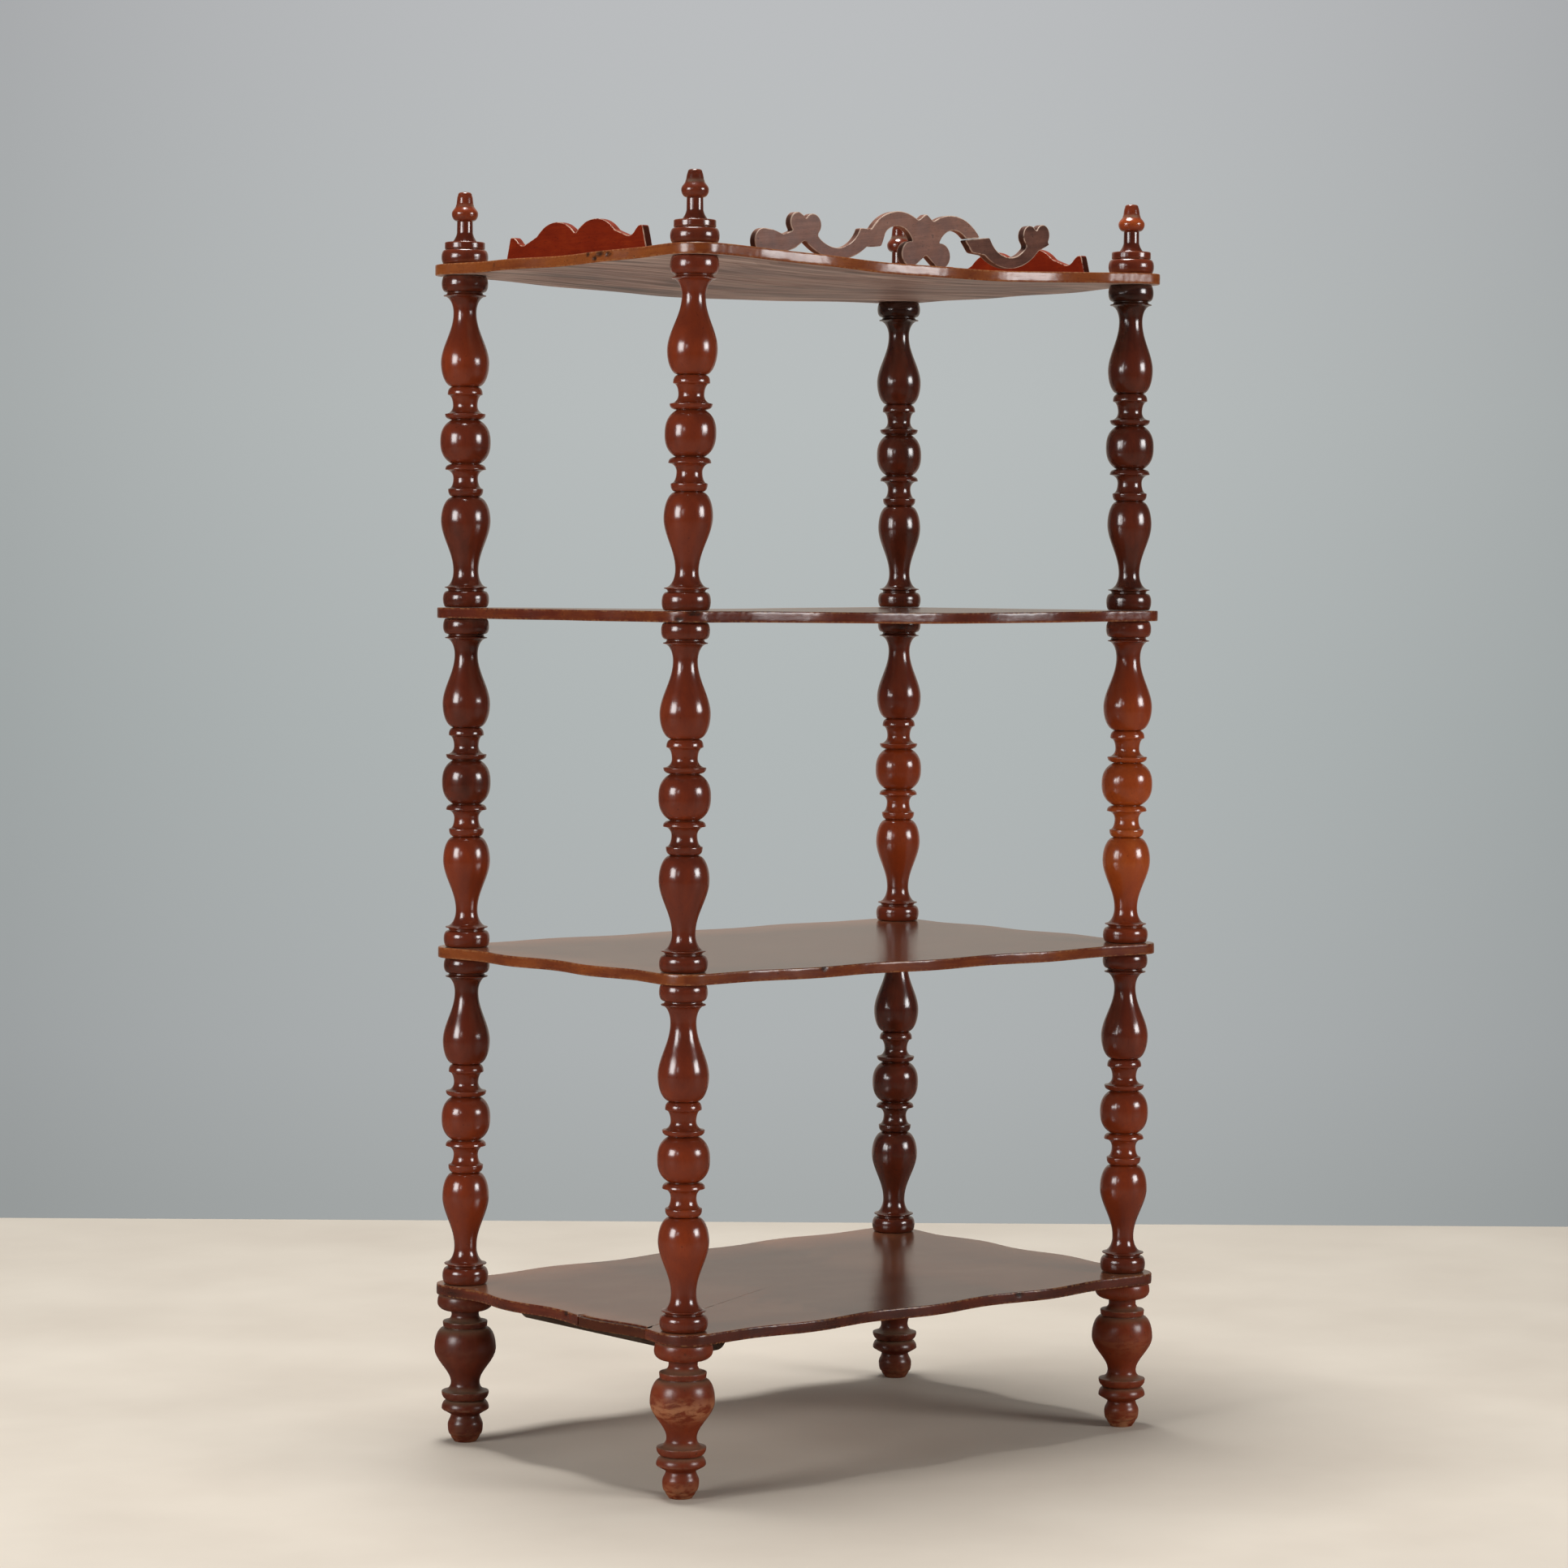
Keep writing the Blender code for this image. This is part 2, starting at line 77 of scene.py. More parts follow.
# How far the middle of each board has sunk, the place of its lowest point along X, and half its reach
sunk = {"bottom": (0.3, 0, 305), "lower_middle": (0.6, 0, 305), "upper_middle": (1.9, -20, 305),
        "top": (6.2, -20, 305)}
# How far each corner of the top board has curled up, and how far in the curl reaches
curl = {"rear_right": 3.3, "rear_left": 2.2, "front_right": 0.8, "front_left": 0.0, "reach": 160}


# How far a post has moved along X and Y at each height
def postShift(post, heights):
    levels = [0] + [shelfLow[tier] for tier in tierNames]
    moves = np.array([settled[level][postNames.index(post)] for level in ("floor", *tierNames)])
    return np.stack([np.interp(heights, levels, moves[:, axis]) for axis in (0, 1)], axis=-1)


def smoothStep(share):
    share = np.clip(share, 0, 1)
    return share ** 2 * (3 - 2 * share)


# How high the curled corners carry points of the top board
def curlAt(x, y):
    return sum(curl[post] * smoothStep(1 - np.hypot(x - place.x, y - place.y) / curl["reach"])
               for post, place in postPlace.items())


# Sets points of the gallery down on the sunken top board
def onTopBoard(x, y, z):
    depth, centre, reach = sunk["top"]
    return x, y, z + curlAt(x, y) - depth * smoothStep(1 - np.abs(x - centre) / reach)


# An sRGB hex colour as linear red, green, blue and alpha
def paint(hexCode):
    parts = [int(hexCode[i:i + 2], 16) / 255 for i in (1, 3, 5)]
    return (*[p / 12.92 if p <= 0.04045 else ((p + 0.055) / 1.055) ** 2.4 for p in parts], 1.0)


# Adds a node. Inputs are values, or sockets or nodes to link from, by name or in the sockets' own order, and
# settings are the node's properties. A shader node goes by its short name.
def addNode(tree, kind, inputs=(), stops=None, **settings):
    node = tree.nodes.new(kind if "Node" in kind else f"ShaderNode{kind}")
    for name, value in settings.items():
        setattr(node, name, value)
    for key, value in inputs.items() if isinstance(inputs, dict) else enumerate(inputs):
        if isinstance(value, bpy.types.Node):
            value = next(socket for socket in value.outputs if socket.enabled)
        if isinstance(value, bpy.types.NodeSocket):
            tree.links.new(value, node.inputs[key])
        else:
            node.inputs[key].default_value = value
    if stops:
        elements = node.color_ramp.elements
        for _ in range(len(stops) - 2):
            elements.new(1.0)
        for element, (position, colour) in zip(elements, stops.items()):
            element.position, element.color = position, paint(colour)
    return node


# An empty material, and what adds a node to it
def newMaterial(name):
    material = bpy.data.materials.new(name)
    material.use_nodes = True
    material.node_tree.nodes.clear()
    return material, partial(addNode, material.node_tree)


def putInScene(name, data):
    thing = bpy.data.objects.new(name, data)
    bpy.context.scene.collection.objects.link(thing)
    return thing


def addPiece(name, mesh, slot, *nodes):
    piece = putInScene(name, mesh)
    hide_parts(*nodes)
    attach(piece, "root")


def giveAttribute(mesh, name, values):
    attribute = mesh.attributes.new(name, "FLOAT", "POINT")
    attribute.data.foreach_set("value", np.asarray(values, np.float32).ravel())


# One recipe for all the wood. Layers are noises: their sizes in millimetres along X, Y and Z, detail and
# distortion. Shares say how much each one moves the tone, and overlays lay a second colour over part of it:
# layer, from, to, most, tone and the attribute that limits it, where one does.
def woodFinish(name, look):
    material, add = newMaterial(name)
    where = add("TexCoord").outputs["Object"]
    layers = {"upward": add("SeparateXYZ", [add("NewGeometry").outputs["Normal"]]).outputs["Z"]}
    for layer, (*sizes, detail, distortion) in look["layers"].items():
        sized = add("Mapping", {"Vector": where, "Rotation": look["turn"],
                                "Scale": [size * mm for size in sizes]}, vector_type="TEXTURE")
        layers[layer] = add("TexNoise", {"Vector": sized, "Scale": 1.0, "Detail": detail, "Roughness": 0.6,
                                         "Distortion": distortion})
    level = look["lift"] - sum(look["shares"].values()) / 2
    for layer, share in look["shares"].items():
        level = add("Math", [layers[layer], share, level], operation="MULTIPLY_ADD")
    # The tone moves with the piece's stain, and on the spindles with painted light as well
    level = add("Math", [level, add("Attribute", attribute_name="stain").outputs["Fac"]], operation="ADD")
    colour = add("ValToRGB", [level], stops=look["tones"])
    for layer, low, high, most, tone, *limits in look["overlays"]:
        patch = add("MapRange", [layers[layer], low, high, 0, most], interpolation_type="SMOOTHSTEP")
        for attribute in limits:
            marked = add("Attribute", attribute_name=attribute).outputs["Fac"]
            patch = add("Math", [patch, marked], operation="MULTIPLY")
        colour = add("Mix", {0: patch, 6: colour, 7: paint(tone)}, data_type="RGBA")
    relief = 0.0
    for layer, depth in look["relief"].items():
        relief = add("Math", [layers[layer], depth, relief], operation="MULTIPLY_ADD")
    bump = add("Bump", {"Height": relief, "Strength": 1.0, "Distance": mm})
    rough = add("MapRange", [layers["cloud"], 0.35, 0.65, *look["roughness"]])
    shader = add("BsdfPrincipled", {
        "Base Color": colour, "Roughness": rough, "Normal": bump, "Coat Normal": bump,
        "Specular IOR Level": look["specular"], "Coat Weight": look["coat"],
        "Coat Roughness": look["coatRoughness"], "Coat IOR": look["coatIor"]})
    add("OutputMaterial", {"Surface": shader})
    return material


# What most of the woods share
plainLook = dict(turn=(0, 0, 0), lift=0.5, roughness=(0.4, 0.5), specular=0.0, coatIor=1.5)

# Turned beech, stained red-brown and French polished: a deep colour under a hard gloss, darker and duller
# where the gouge cut in, and paler on the crests, where the stain is rubbed thin and a highlight is painted
# along them.
polishedTurning = dict(
    layers=dict(figure=(9, 9, 75, 2, 0.6), rings=(2.6, 34, 260, 2, 0.2), fibre=(0.9, 0.9, 26, 4, 0),
                cloud=(30, 30, 55, 2, 0.3), pores=(0.7, 0.7, 7, 2, 0), fleck=(5, 5, 5, 3, 0),
                ripple=(11, 11, 11, 1, 0)),
    turn=(0.05, 0.03, 0.5), lift=0.0, shares=dict(figure=0.1, rings=0.08, fibre=0.06, cloud=0.3, fleck=0.03),
    tones={0: "#28120b", 0.2: "#36180f", 0.45: "#6c2b18", 0.65: "#8a3717", 0.85: "#a3481b", 1: "#b9602a"},
    overlays=[("pores", 0.58, 0.7, 0.25, "#2b0e08"), ("fleck", 0.68, 0.74, 0.45, "#220f09"),
              ("cloud", 0.1, 0.3, 0.6, "#33200f", "hollow"), ("cloud", 0.3, 0.5, 0.35, "#a1694a", "crest"),
              ("cloud", 0.4, 0.6, 0.5, "#8a8271", "dust")],
    relief=dict(fibre=0.03, ripple=0.12, pores=-0.03), roughness=(0.4, 0.55), specular=0.0,
    coat=1.0, coatRoughness=0.17, coatIor=1.7,
)

# The same turning low down, where boots and mops have dulled it and dust has settled into the rings.
dustyTurning = dict(
    polishedTurning, layers=dict(polishedTurning["layers"], scuff=(13, 13, 5, 5, 0.4)),
    # The crests are paler from wear, and partly from a painted highlight along them
    overlays=[("pores", 0.58, 0.7, 0.3, "#2b0e08"), ("fleck", 0.66, 0.72, 0.5, "#24130c"),
              ("cloud", 0.1, 0.3, 0.7, "#33261c", "hollow"), ("scuff", 0.38, 0.6, 0.75, "#b47a55", "bare"),
              ("fleck", 0.4, 0.56, 0.6, "#a58a6c", "crest"), ("upward", 0.25, 0.95, 0.4, "#8a7a64")],
    roughness=(0.35, 0.55), coat=0.6, coatRoughness=0.28,
)

# Shelf face: a wide board, stained and waxed, gone grey-brown and semi-matt with handling.
waxedBoard = dict(
    plainLook,
    layers=dict(figure=(190, 17, 17, 2, 0.6), rings=(300, 4, 40, 2, 0.2), fibre=(48, 0.9, 0.9, 4, 0),
                cloud=(95, 60, 60, 3, 0.3), pores=(7, 0.8, 0.8, 2, 0), fleck=(9, 7, 7, 3, 0),
                ripple=(60, 45, 45, 1, 0)),
    shares=dict(figure=0.16, rings=0.14, fibre=0.1, cloud=0.3, fleck=0.06),
    tones={0: "#4b2b1a", 0.35: "#7a4932", 0.6: "#965f42", 0.85: "#aa7655", 1: "#bb8c6c"},
    overlays=[("pores", 0.58, 0.7, 0.4, "#26120b"), ("fleck", 0.68, 0.74, 0.6, "#1f100a"),
              ("cloud", 0.45, 0.7, 0.2, "#94806c")],
    relief=dict(fibre=0.03, ripple=0.25), coat=1.0, coatRoughness=0.19,
)

# Shelf edge: the stain has rubbed through to orange-brown, with old knocks filled by dark polish.
rubbedEdge = dict(
    plainLook,
    layers=dict(figure=(120, 120, 9, 2, 0.5), rings=(60, 60, 3, 2, 0.2), fibre=(30, 30, 0.9, 4, 0),
                cloud=(70, 70, 30, 3, 0.3), pores=(6, 6, 0.8, 2, 0), fleck=(4, 4, 4, 3, 0),
                ripple=(14, 14, 14, 1, 0)),
    shares=dict(figure=0.25, rings=0.12, fibre=0.12, cloud=0.55, fleck=0.08),
    tones={0: "#2b1309", 0.3: "#622614", 0.55: "#87441b", 0.8: "#a05a25", 1: "#b9783f"},
    overlays=[("pores", 0.58, 0.7, 0.35, "#3a1b0e"), ("fleck", 0.67, 0.73, 0.7, "#20110a"),
              ("fleck", 0.45, 0.6, 0.4, "#ab7c4e", "arris"), ("fleck", 0.2, 0.5, 0.9, "#2a1811", "torn")],
    relief=dict(fibre=0.04, ripple=0.09, fleck=0.02), coat=1.0, coatRoughness=0.25, coatIor=1.6,
)

# Underside: sawn and never finished, grey-brown with dark streaks along the board. Its pores are drawn far
# longer than real ones, so that they show as streaks.
sawnUnderside = dict(
    plainLook,
    layers=dict(figure=(300, 16, 16, 3, 0.8), rings=(420, 6, 40, 2, 0.3), fibre=(75, 1.6, 1.6, 4, 0),
                cloud=(190, 60, 60, 3, 0.5), pores=(150, 8, 8, 3, 0.5), fleck=(190, 17, 17, 3, 0.8),
                ripple=(60, 30, 30, 1, 0)),
    shares=dict(figure=0.9, rings=0.2, fibre=0.3, cloud=0.7, fleck=0.4),
    tones={0: "#3a1d12", 0.3: "#704838", 0.55: "#b8958a", 0.8: "#dcc2b8", 1: "#ecdcd4"},
    overlays=[("pores", 0.53, 0.68, 0.55, "#4a2f23"), ("fleck", 0.53, 0.68, 0.65, "#432a20")],
    relief=dict(fibre=0.2, ripple=0.6, figure=0.6, fleck=0.8), roughness=(0.4, 0.55), specular=0.2,
    coat=0.0, coatRoughness=0.3,
)

# Fretwork board: a thin stain gone dull purple-brown, with its sawn arrises rubbed pale.
dullFretwork = dict(
    plainLook,
    layers=dict(figure=(60, 30, 11, 2, 0.6), rings=(120, 30, 3.2, 2, 0.2), fibre=(28, 6, 0.9, 4, 0),
                cloud=(28, 28, 24, 3, 0.4), pores=(5, 2, 0.7, 2, 0), fleck=(5, 5, 5, 3, 0),
                ripple=(14, 14, 14, 1, 0)),
    turn=(0, 0.12, 0), shares=dict(figure=0.35, rings=0.3, fibre=0.3, cloud=0.6, fleck=0.2),
    tones={0: "#44251a", 0.35: "#70483a", 0.6: "#8b5e4c", 0.85: "#a17a6b", 1: "#b39486"},
    overlays=[("pores", 0.58, 0.7, 0.4, "#2a1511"), ("fleck", 0.66, 0.72, 0.6, "#24120e"),
              ("cloud", 0.2, 0.4, 0.75, "#2c1710", "sawn"), ("fleck", 0.3, 0.5, 0.85, "#d3b8a4", "arris")],
    relief=dict(fibre=0.05, ripple=0.25), roughness=(0.4, 0.55), specular=0.15, coat=0.2, coatRoughness=0.28,
)

# End boards: mahogany under a clear orange polish, brighter than the fret, with pale rubbed arrises.
polishedMahogany = dict(
    plainLook,
    layers=dict(figure=(14, 70, 14, 2, 0.6), rings=(40, 200, 4, 2, 0.3), fibre=(1, 34, 0.9, 4, 0),
                cloud=(30, 48, 26, 3, 0.4), pores=(0.8, 6, 0.8, 2, 0), fleck=(5, 5, 5, 3, 0),
                ripple=(18, 18, 18, 1, 0)),
    lift=0.58, shares=dict(figure=0.2, rings=0.2, fibre=0.14, cloud=0.45, fleck=0.05),
    tones={0: "#420f08", 0.35: "#651a0c", 0.6: "#80270f", 0.85: "#9c3a15", 1: "#b4561f"},
    overlays=[("pores", 0.58, 0.7, 0.4, "#3a1009"), ("fleck", 0.66, 0.72, 0.5, "#30110a"),
              ("cloud", 0.1, 0.3, 0.85, "#2c1b14", "sawn"), ("fleck", 0.36, 0.56, 0.85, "#c9a78f", "arris")],
    relief=dict(fibre=0.03, ripple=0.2), coat=0.5, coatRoughness=0.2,
)

# Battens and pegs: rough softwood, gone dark under the shelf.
rawBatten = dict(
    sawnUnderside,
    layers=dict(figure=(10, 220, 10, 3, 1.0), rings=(6, 400, 30, 2, 0.3), fibre=(1.6, 70, 1.6, 4, 0),
                cloud=(36, 90, 36, 3, 0.5), pores=(1.8, 16, 1.8, 2, 0), fleck=(6, 24, 6, 3, 0),
                ripple=(20, 60, 20, 1, 0)),
    tones={0: "#1d1512", 0.3: "#33261f", 0.55: "#4c3a2e", 0.8: "#62503f", 1: "#7c6752"},
    roughness=(0.55, 0.8),
)

# The let-in strip: a later patch, stained to match but browner and duller than the board that it mends.
patchStrip = dict(
    rubbedEdge,
    layers=dict(rubbedEdge["layers"], figure=(9, 120, 9, 2, 0.5), rings=(4, 160, 8, 2, 0.2),
                fibre=(0.9, 30, 0.9, 4, 0)),
    tones={0: "#24100b", 0.35: "#421f14", 0.6: "#562b1b", 0.85: "#6b3b26", 1: "#855236"},
    coat=0.5, coatRoughness=0.22,
)

woods = {
    "turning": woodFinish("frenchPolishedTurning", polishedTurning),
    "foot": woodFinish("dustyPolishedTurning", dustyTurning),
    "board": woodFinish("waxedShelfBoard", waxedBoard),
    "edge": woodFinish("rubbedShelfEdge", rubbedEdge),
    "underside": woodFinish("sawnShelfUnderside", sawnUnderside),
    "fret": woodFinish("dullFretworkBoard", dullFretwork),
    "endBoard": woodFinish("polishedMahoganyBoard", polishedMahogany),
    "batten": woodFinish("rawSoftwoodBatten", rawBatten),
    "strip": woodFinish("stainedPatchStrip", patchStrip),
}


# Old screw steel: dark and dull, with brown rust in patches a few millimetres across.
def rustedSteel():
    material, add = newMaterial("rustedScrewSteel")
    where = add("TexCoord").outputs["Object"]
    patches = add("TexNoise", {"Vector": where, "Scale": 1 / (2.5 * mm), "Detail": 4.0})
    colour = add("ValToRGB", [patches], stops={0.4: "#6b6660", 0.52: "#4f443b", 0.62: "#5d3a24"})
    rough = add("MapRange", [patches, 0.4, 0.62, 0.35, 0.8])
    bump = add("Bump", {"Height": patches, "Strength": 0.5, "Distance": 0.2 * mm})
    shader = add("BsdfPrincipled", {"Base Color": colour, "Metallic": 0.85, "Roughness": rough,
                                    "Normal": bump})
    add("OutputMaterial", {"Surface": shader})
    return material


steel = rustedSteel()
print("materials ready:", len(woods) + 1)


# The point that lies a share of the way across and a share of the way up from start to end
def between(start, end, across, up):
    return start[0] + (end[0] - start[0]) * across, start[1] + (end[1] - start[1]) * up


# Draws a profile of (radius, height) on from its first points, stroke by stroke, in millimetres. A line is
# stepped finely enough to lean and to take its marks. Out and up are quarters of an ellipse that leave the
# last point sideways or upwards, an ease is a long S-curve and a swell a rounded bead, each with its steps.
# Then comes the fullness of an ease or the crest of a swell. A word stands for a size given with the call.
def drawProfile(points, strokes, **given):
    for stroke, *sizes in strokes:
        start, sizes = points[-1], [given.get(size, size) for size in sizes]
        radius, height, steps, shape = sizes + [0] * (4 - len(sizes))
        steps = steps or max(1, round(math.dist(start, (radius, height)) / 1.2))
        for step in range(1, steps + 1):
            share = step / steps
            turn = math.pi * share
            early, late, middling = math.sin(turn / 2), 1 - math.cos(turn / 2), (1 - math.cos(turn)) / 2
            eased = (1 - math.cos(math.pi * share ** shape)) / 2
            across, up = {"line": (share, share), "out": (early, late), "up": (late, early),
                          "ease": (eased, share), "swell": (share, middling)}[stroke]
            across, up = between(start, (radius, height), across, up)
            bulge = (shape - across) * math.sin(turn) ** 0.8 if stroke == "swell" else 0
            points.append((across + bulge, up))
    return points


# How deep each point of a profile lies in a hollow, and how sharply it stands out as a crest, from 0 to 1
def profileMarks(points):
    radius, height = np.array(points, float).T
    along = np.concatenate([[0], np.cumsum(np.hypot(np.diff(radius), np.diff(height)))])
    even = np.arange(0, along[-1], 0.2)
    smooth = np.interp(even, along, radius)
    averaged = {}
    for width in (3, 6, 16):
        count = width * 5 | 1
        padded = np.pad(smooth, count // 2, mode="edge")
        averaged[width] = np.convolve(padded, np.ones(count) / count, "valid")
    narrow = np.clip((averaged[6] - smooth) / 1.6, 0, 1)
    wide = np.clip((averaged[16] - smooth) / 5.0, 0, 1) * 0.6
    crest = np.clip((smooth - averaged[3]) / 0.45, 0, 1)
    return np.interp(along, even, np.maximum(narrow, wide)), np.interp(along, even, crest)


# A closed mesh from rings of points, one above the other, with a flat cap on either end
def ringedMesh(name, spots, columns):
    faces = [(row + i, row + (i + 1) % columns, row + columns + (i + 1) % columns, row + columns + i)
             for row in range(0, len(spots) - columns, columns) for i in range(columns)]
    faces += [tuple(reversed(range(columns))), tuple(range(len(spots) - columns, len(spots)))]
    mesh = bpy.data.meshes.new(name)
    mesh.from_pydata(spots.tolist(), [], faces)
    return mesh


# Spins a profile on its post, a little out of round as hand turning is, and lets it lean with the joints.
# Stain and painted light, bare and dust are functions of height that give each mark its strength.
def turnPiece(node, points, post, base, piece, finish, **marks):
    name = f"{node}_turned"
    rng = random.Random(name)
    radius, height = np.array(points, float).T
    hollow, crest = profileMarks(points)
    turn = np.arange(piece["sides"]) / piece["sides"] * 2 * math.pi
    ring, angle = np.meshgrid(np.arange(len(points)), turn, indexing="ij")
    outOfRound = -0.006
    for lobes in (2, 3):
        phase, twist = rng.uniform(0, 2 * math.pi), rng.uniform(25, 60)
        wave = np.cos(lobes * angle + phase + height[ring] / twist)
        outOfRound = outOfRound + rng.uniform(0.002, 0.004) * wave
    spun = radius[ring] * (1 + outOfRound)
    lean = postShift(post, base + height)[ring]
    x = postPlace[post].x + lean[..., 0] + spun * np.cos(angle)
    y = postPlace[post].y + lean[..., 1] + spun * np.sin(angle)
    spots = np.stack([x, y, base + height[ring]], axis=-1).reshape(-1, 3) * mm
    mesh = ringedMesh(name, spots, piece["sides"])
    mesh.shade_smooth()
    giveAttribute(mesh, "hollow", hollow[ring])
    giveAttribute(mesh, "crest", crest[ring] * piece["rubAndGlint"])
    for attribute, strength in marks.items():
        giveAttribute(mesh, attribute, np.broadcast_to(strength(height), height.shape)[ring])
    mesh.materials.append(woods[finish])
    addPiece(name, mesh, "turning", node)


spindle = dict(
    ballHalf=22.5, ballFullness=2.4, grooveRadius=14.6, sides=72, rubAndGlint=0.25,
    strokes=[  # from the ball's groove: a lip and cove, a ring, the belly and neck, the flare and the collar
        ("line", 14.6, 22.9), ("out", 21, 27.6, 8), ("line", 21.3, 28.2), ("line", 20.8, 28.9),
        ("out", 12.8, 37.4, 9), ("up", 17.8, 48.4, 9), ("line", 18.3, 49), ("line", 18.2, 50.2),
        ("up", 13.2, 56.8, 7),
        ("out", "belly", 81.5, 20), ("ease", "neck", 133, 34, 0.95),
        ("up", 21.8, 149.8, 14), ("line", 22.3, 150.2), ("line", 21.9, 150.9), ("out", 18.6, 153.2, 4),
        ("line", 18.6, 154), ("swell", 20.7, "length", 16, 24.1)],
)
# Each spindle's shape as its turner left it, in the order of the posts: radii of ball, upper and lower belly,
# upper and lower neck, and how far the middle sits above its place; then its tone at the bottom, lower belly,
# ball, upper belly and top, partly stain and partly painted light: a painted glow, warmer and lighter low on
# the bellies, and painted shade on the posts further from the lamps
spindleHabits = {
    "lower": (((26.2, 25.5, 25.4, 12.9, 12.7, -1.8), (0.4, 0.6, 0.52, 0.5, 0.4)),
              ((25.7, 25.1, 25.2, 11.5, 11.3, 0.7), (0.35, 0.55, 0.57, 0.45, 0.35)),
              ((25.5, 24.6, 24.5, 12.4, 11.7, 2.7), (0.38, 0.55, 0.52, 0.42, 0.3)),
              ((25.9, 25.1, 25.8, 12.2, 12.2, -1.0), (0.3, 0.32, 0.3, 0.32, 0.3))),
    "middle": (((25.9, 25.1, 25.2, 12.3, 11.8, 0.4), (0.4, 0.45, 0.45, 0.5, 0.4)),
               ((27.0, 26.0, 25.4, 12.8, 12.3, -2.3), (0.5, 0.9, 0.8, 0.65, 0.4)),
               ((25.3, 24.8, 24.6, 12.1, 11.4, 0.8), (0.42, 0.58, 0.32, 0.4, 0.32)),
               ((25.7, 24.8, 24.8, 11.9, 12.1, -0.2), (0.45, 0.65, 0.65, 0.45, 0.3))),
    "upper": (((25.4, 24.8, 24.3, 11.7, 11.6, 0.0), (0.4, 0.5, 0.48, 0.55, 0.44)),
              ((25.3, 23.8, 23.5, 12.4, 11.1, 0.3), (0.3, 0.34, 0.32, 0.34, 0.2)),
              ((26.2, 25.2, 25.7, 12.0, 13.1, 0.0), (0.35, 0.4, 0.45, 0.6, 0.3)),
              ((24.9, 24.6, 23.8, 11.5, 11.6, -0.7), (0.32, 0.32, 0.32, 0.3, 0.2))),
}


# Half a spindle from the middle of its ball to its end, in heights above the ball
def spindleHalf(ball, belly, neck, length):
    s = SimpleNamespace(**spindle)
    pinch = 1 - (s.grooveRadius / ball) ** s.ballFullness
    shares = [1 - (1 - step / 15) ** 1.4 for step in range(16)]
    points = [(ball * (1 - share ** s.ballFullness * pinch) ** (1 / s.ballFullness), s.ballHalf * share)
              for share in shares]
    return drawProfile(points, s.strokes, belly=belly, neck=neck, length=length)


def makeSpindle(tier, below, post, habits):
    node = f"spindle_{tier}_{post}"
    base, top = shelfHigh[below] + seatGap, boxOf(node)[1].z + (curl[post] if tier == "upper" else 0)
    half = (top - base) / 2
    (ball, upperBelly, lowerBelly, upperNeck, lowerNeck, rise), stain = habits
    upper = spindleHalf(ball, upperBelly, upperNeck, half)
    lower = spindleHalf(ball, lowerBelly, lowerNeck, half)
    points = [(radius, -height) for radius, height in reversed(lower[1:])] + upper
    points = [(radius, height + half + rise * max(0.0, 1 - (abs(height) / half) ** 3))
              for radius, height in points]
    along = np.linspace(0, 2 * half, 5)
    turnPiece(node, points, post, base, spindle, "turning",
              stain=lambda height: np.interp(height, along, stain))


for (tier, habits), below in zip(spindleHabits.items(), tierNames):
    for post, habit in zip(postNames, habits):
        makeSpindle(tier, below, post, habit)
print("spindles turned")

foot = dict(
    ball=32.4, discStart=137.2, sides=88, rubAndGlint=0.6, start=[(11.1, 0.0), (12.0, 0.4), (12.3, 1.2)],
    strokes=[  # from the floor: the toe, two rings, the neck and ball, a lip and cove, and the disc
        ("line", 14.3, 3.8), ("line", 16.3, 7.6), ("out", 18.4, 16.5, 10), ("ease", 15, 27.3, 12, 1.1),
        ("line", 24, 32.4), ("line", 24.8, 33.4), ("up", 18.6, 42.2, 9), ("out", 24.8, 50.2, 9),
        ("line", 24.6, 51), ("out", 15.1, 60, 12), ("ease", "ball", 96.2, 34, 0.95), ("up", 22.3, 118.4, 18),
        ("line", 21.8, 118.8), ("line", 23.1, 120), ("line", 23.6, 124.6), ("line", 23.1, 125.4),
        ("out", 14.4, 132.5, 9), ("line", 14.7, 136.6), ("line", 18.4, 137.2),
        ("out", 29.2, "discMiddle", 9), ("up", 26.4, "top", 9)],
)
# How much wider each ball is, how far its middle sits above its place, its stain, and how bare ball and toe
# are
footHabits = {
    "rear_right": (-0.1, 0.0, 0.52, 1.0, 1.0), "rear_left": (0.1, 0.5, 0.55, 0.25, 1.3),
    "front_right": (0.0, 2.6, 0.37, 0.05, 0.4), "front_left": (0.0, 0.8, 0.34, 0.1, 0.5),
}


def makeFoot(post, wider, rise, stain, bareBall, bareToe):
    top = boxOf(f"foot_{post}")[1].z
    points = drawProfile(list(foot["start"]), foot["strokes"], ball=foot["ball"] + wider, top=top,
                         discMiddle=(foot["discStart"] + top) / 2)
    points = [(radius, z + rise * math.sin(math.pi * z / top)) for radius, z in points]
    turnPiece(f"foot_{post}", points, post, 0.0, foot, "foot", stain=lambda height: stain,
              bare=lambda height: np.maximum(np.clip(1.1 - height / 19, 0, 1) * bareToe,
                                             np.exp(-((height - 90) / 11) ** 2) * bareBall))


for post, habits in footHabits.items():
    makeFoot(post, *habits)
print("feet turned")

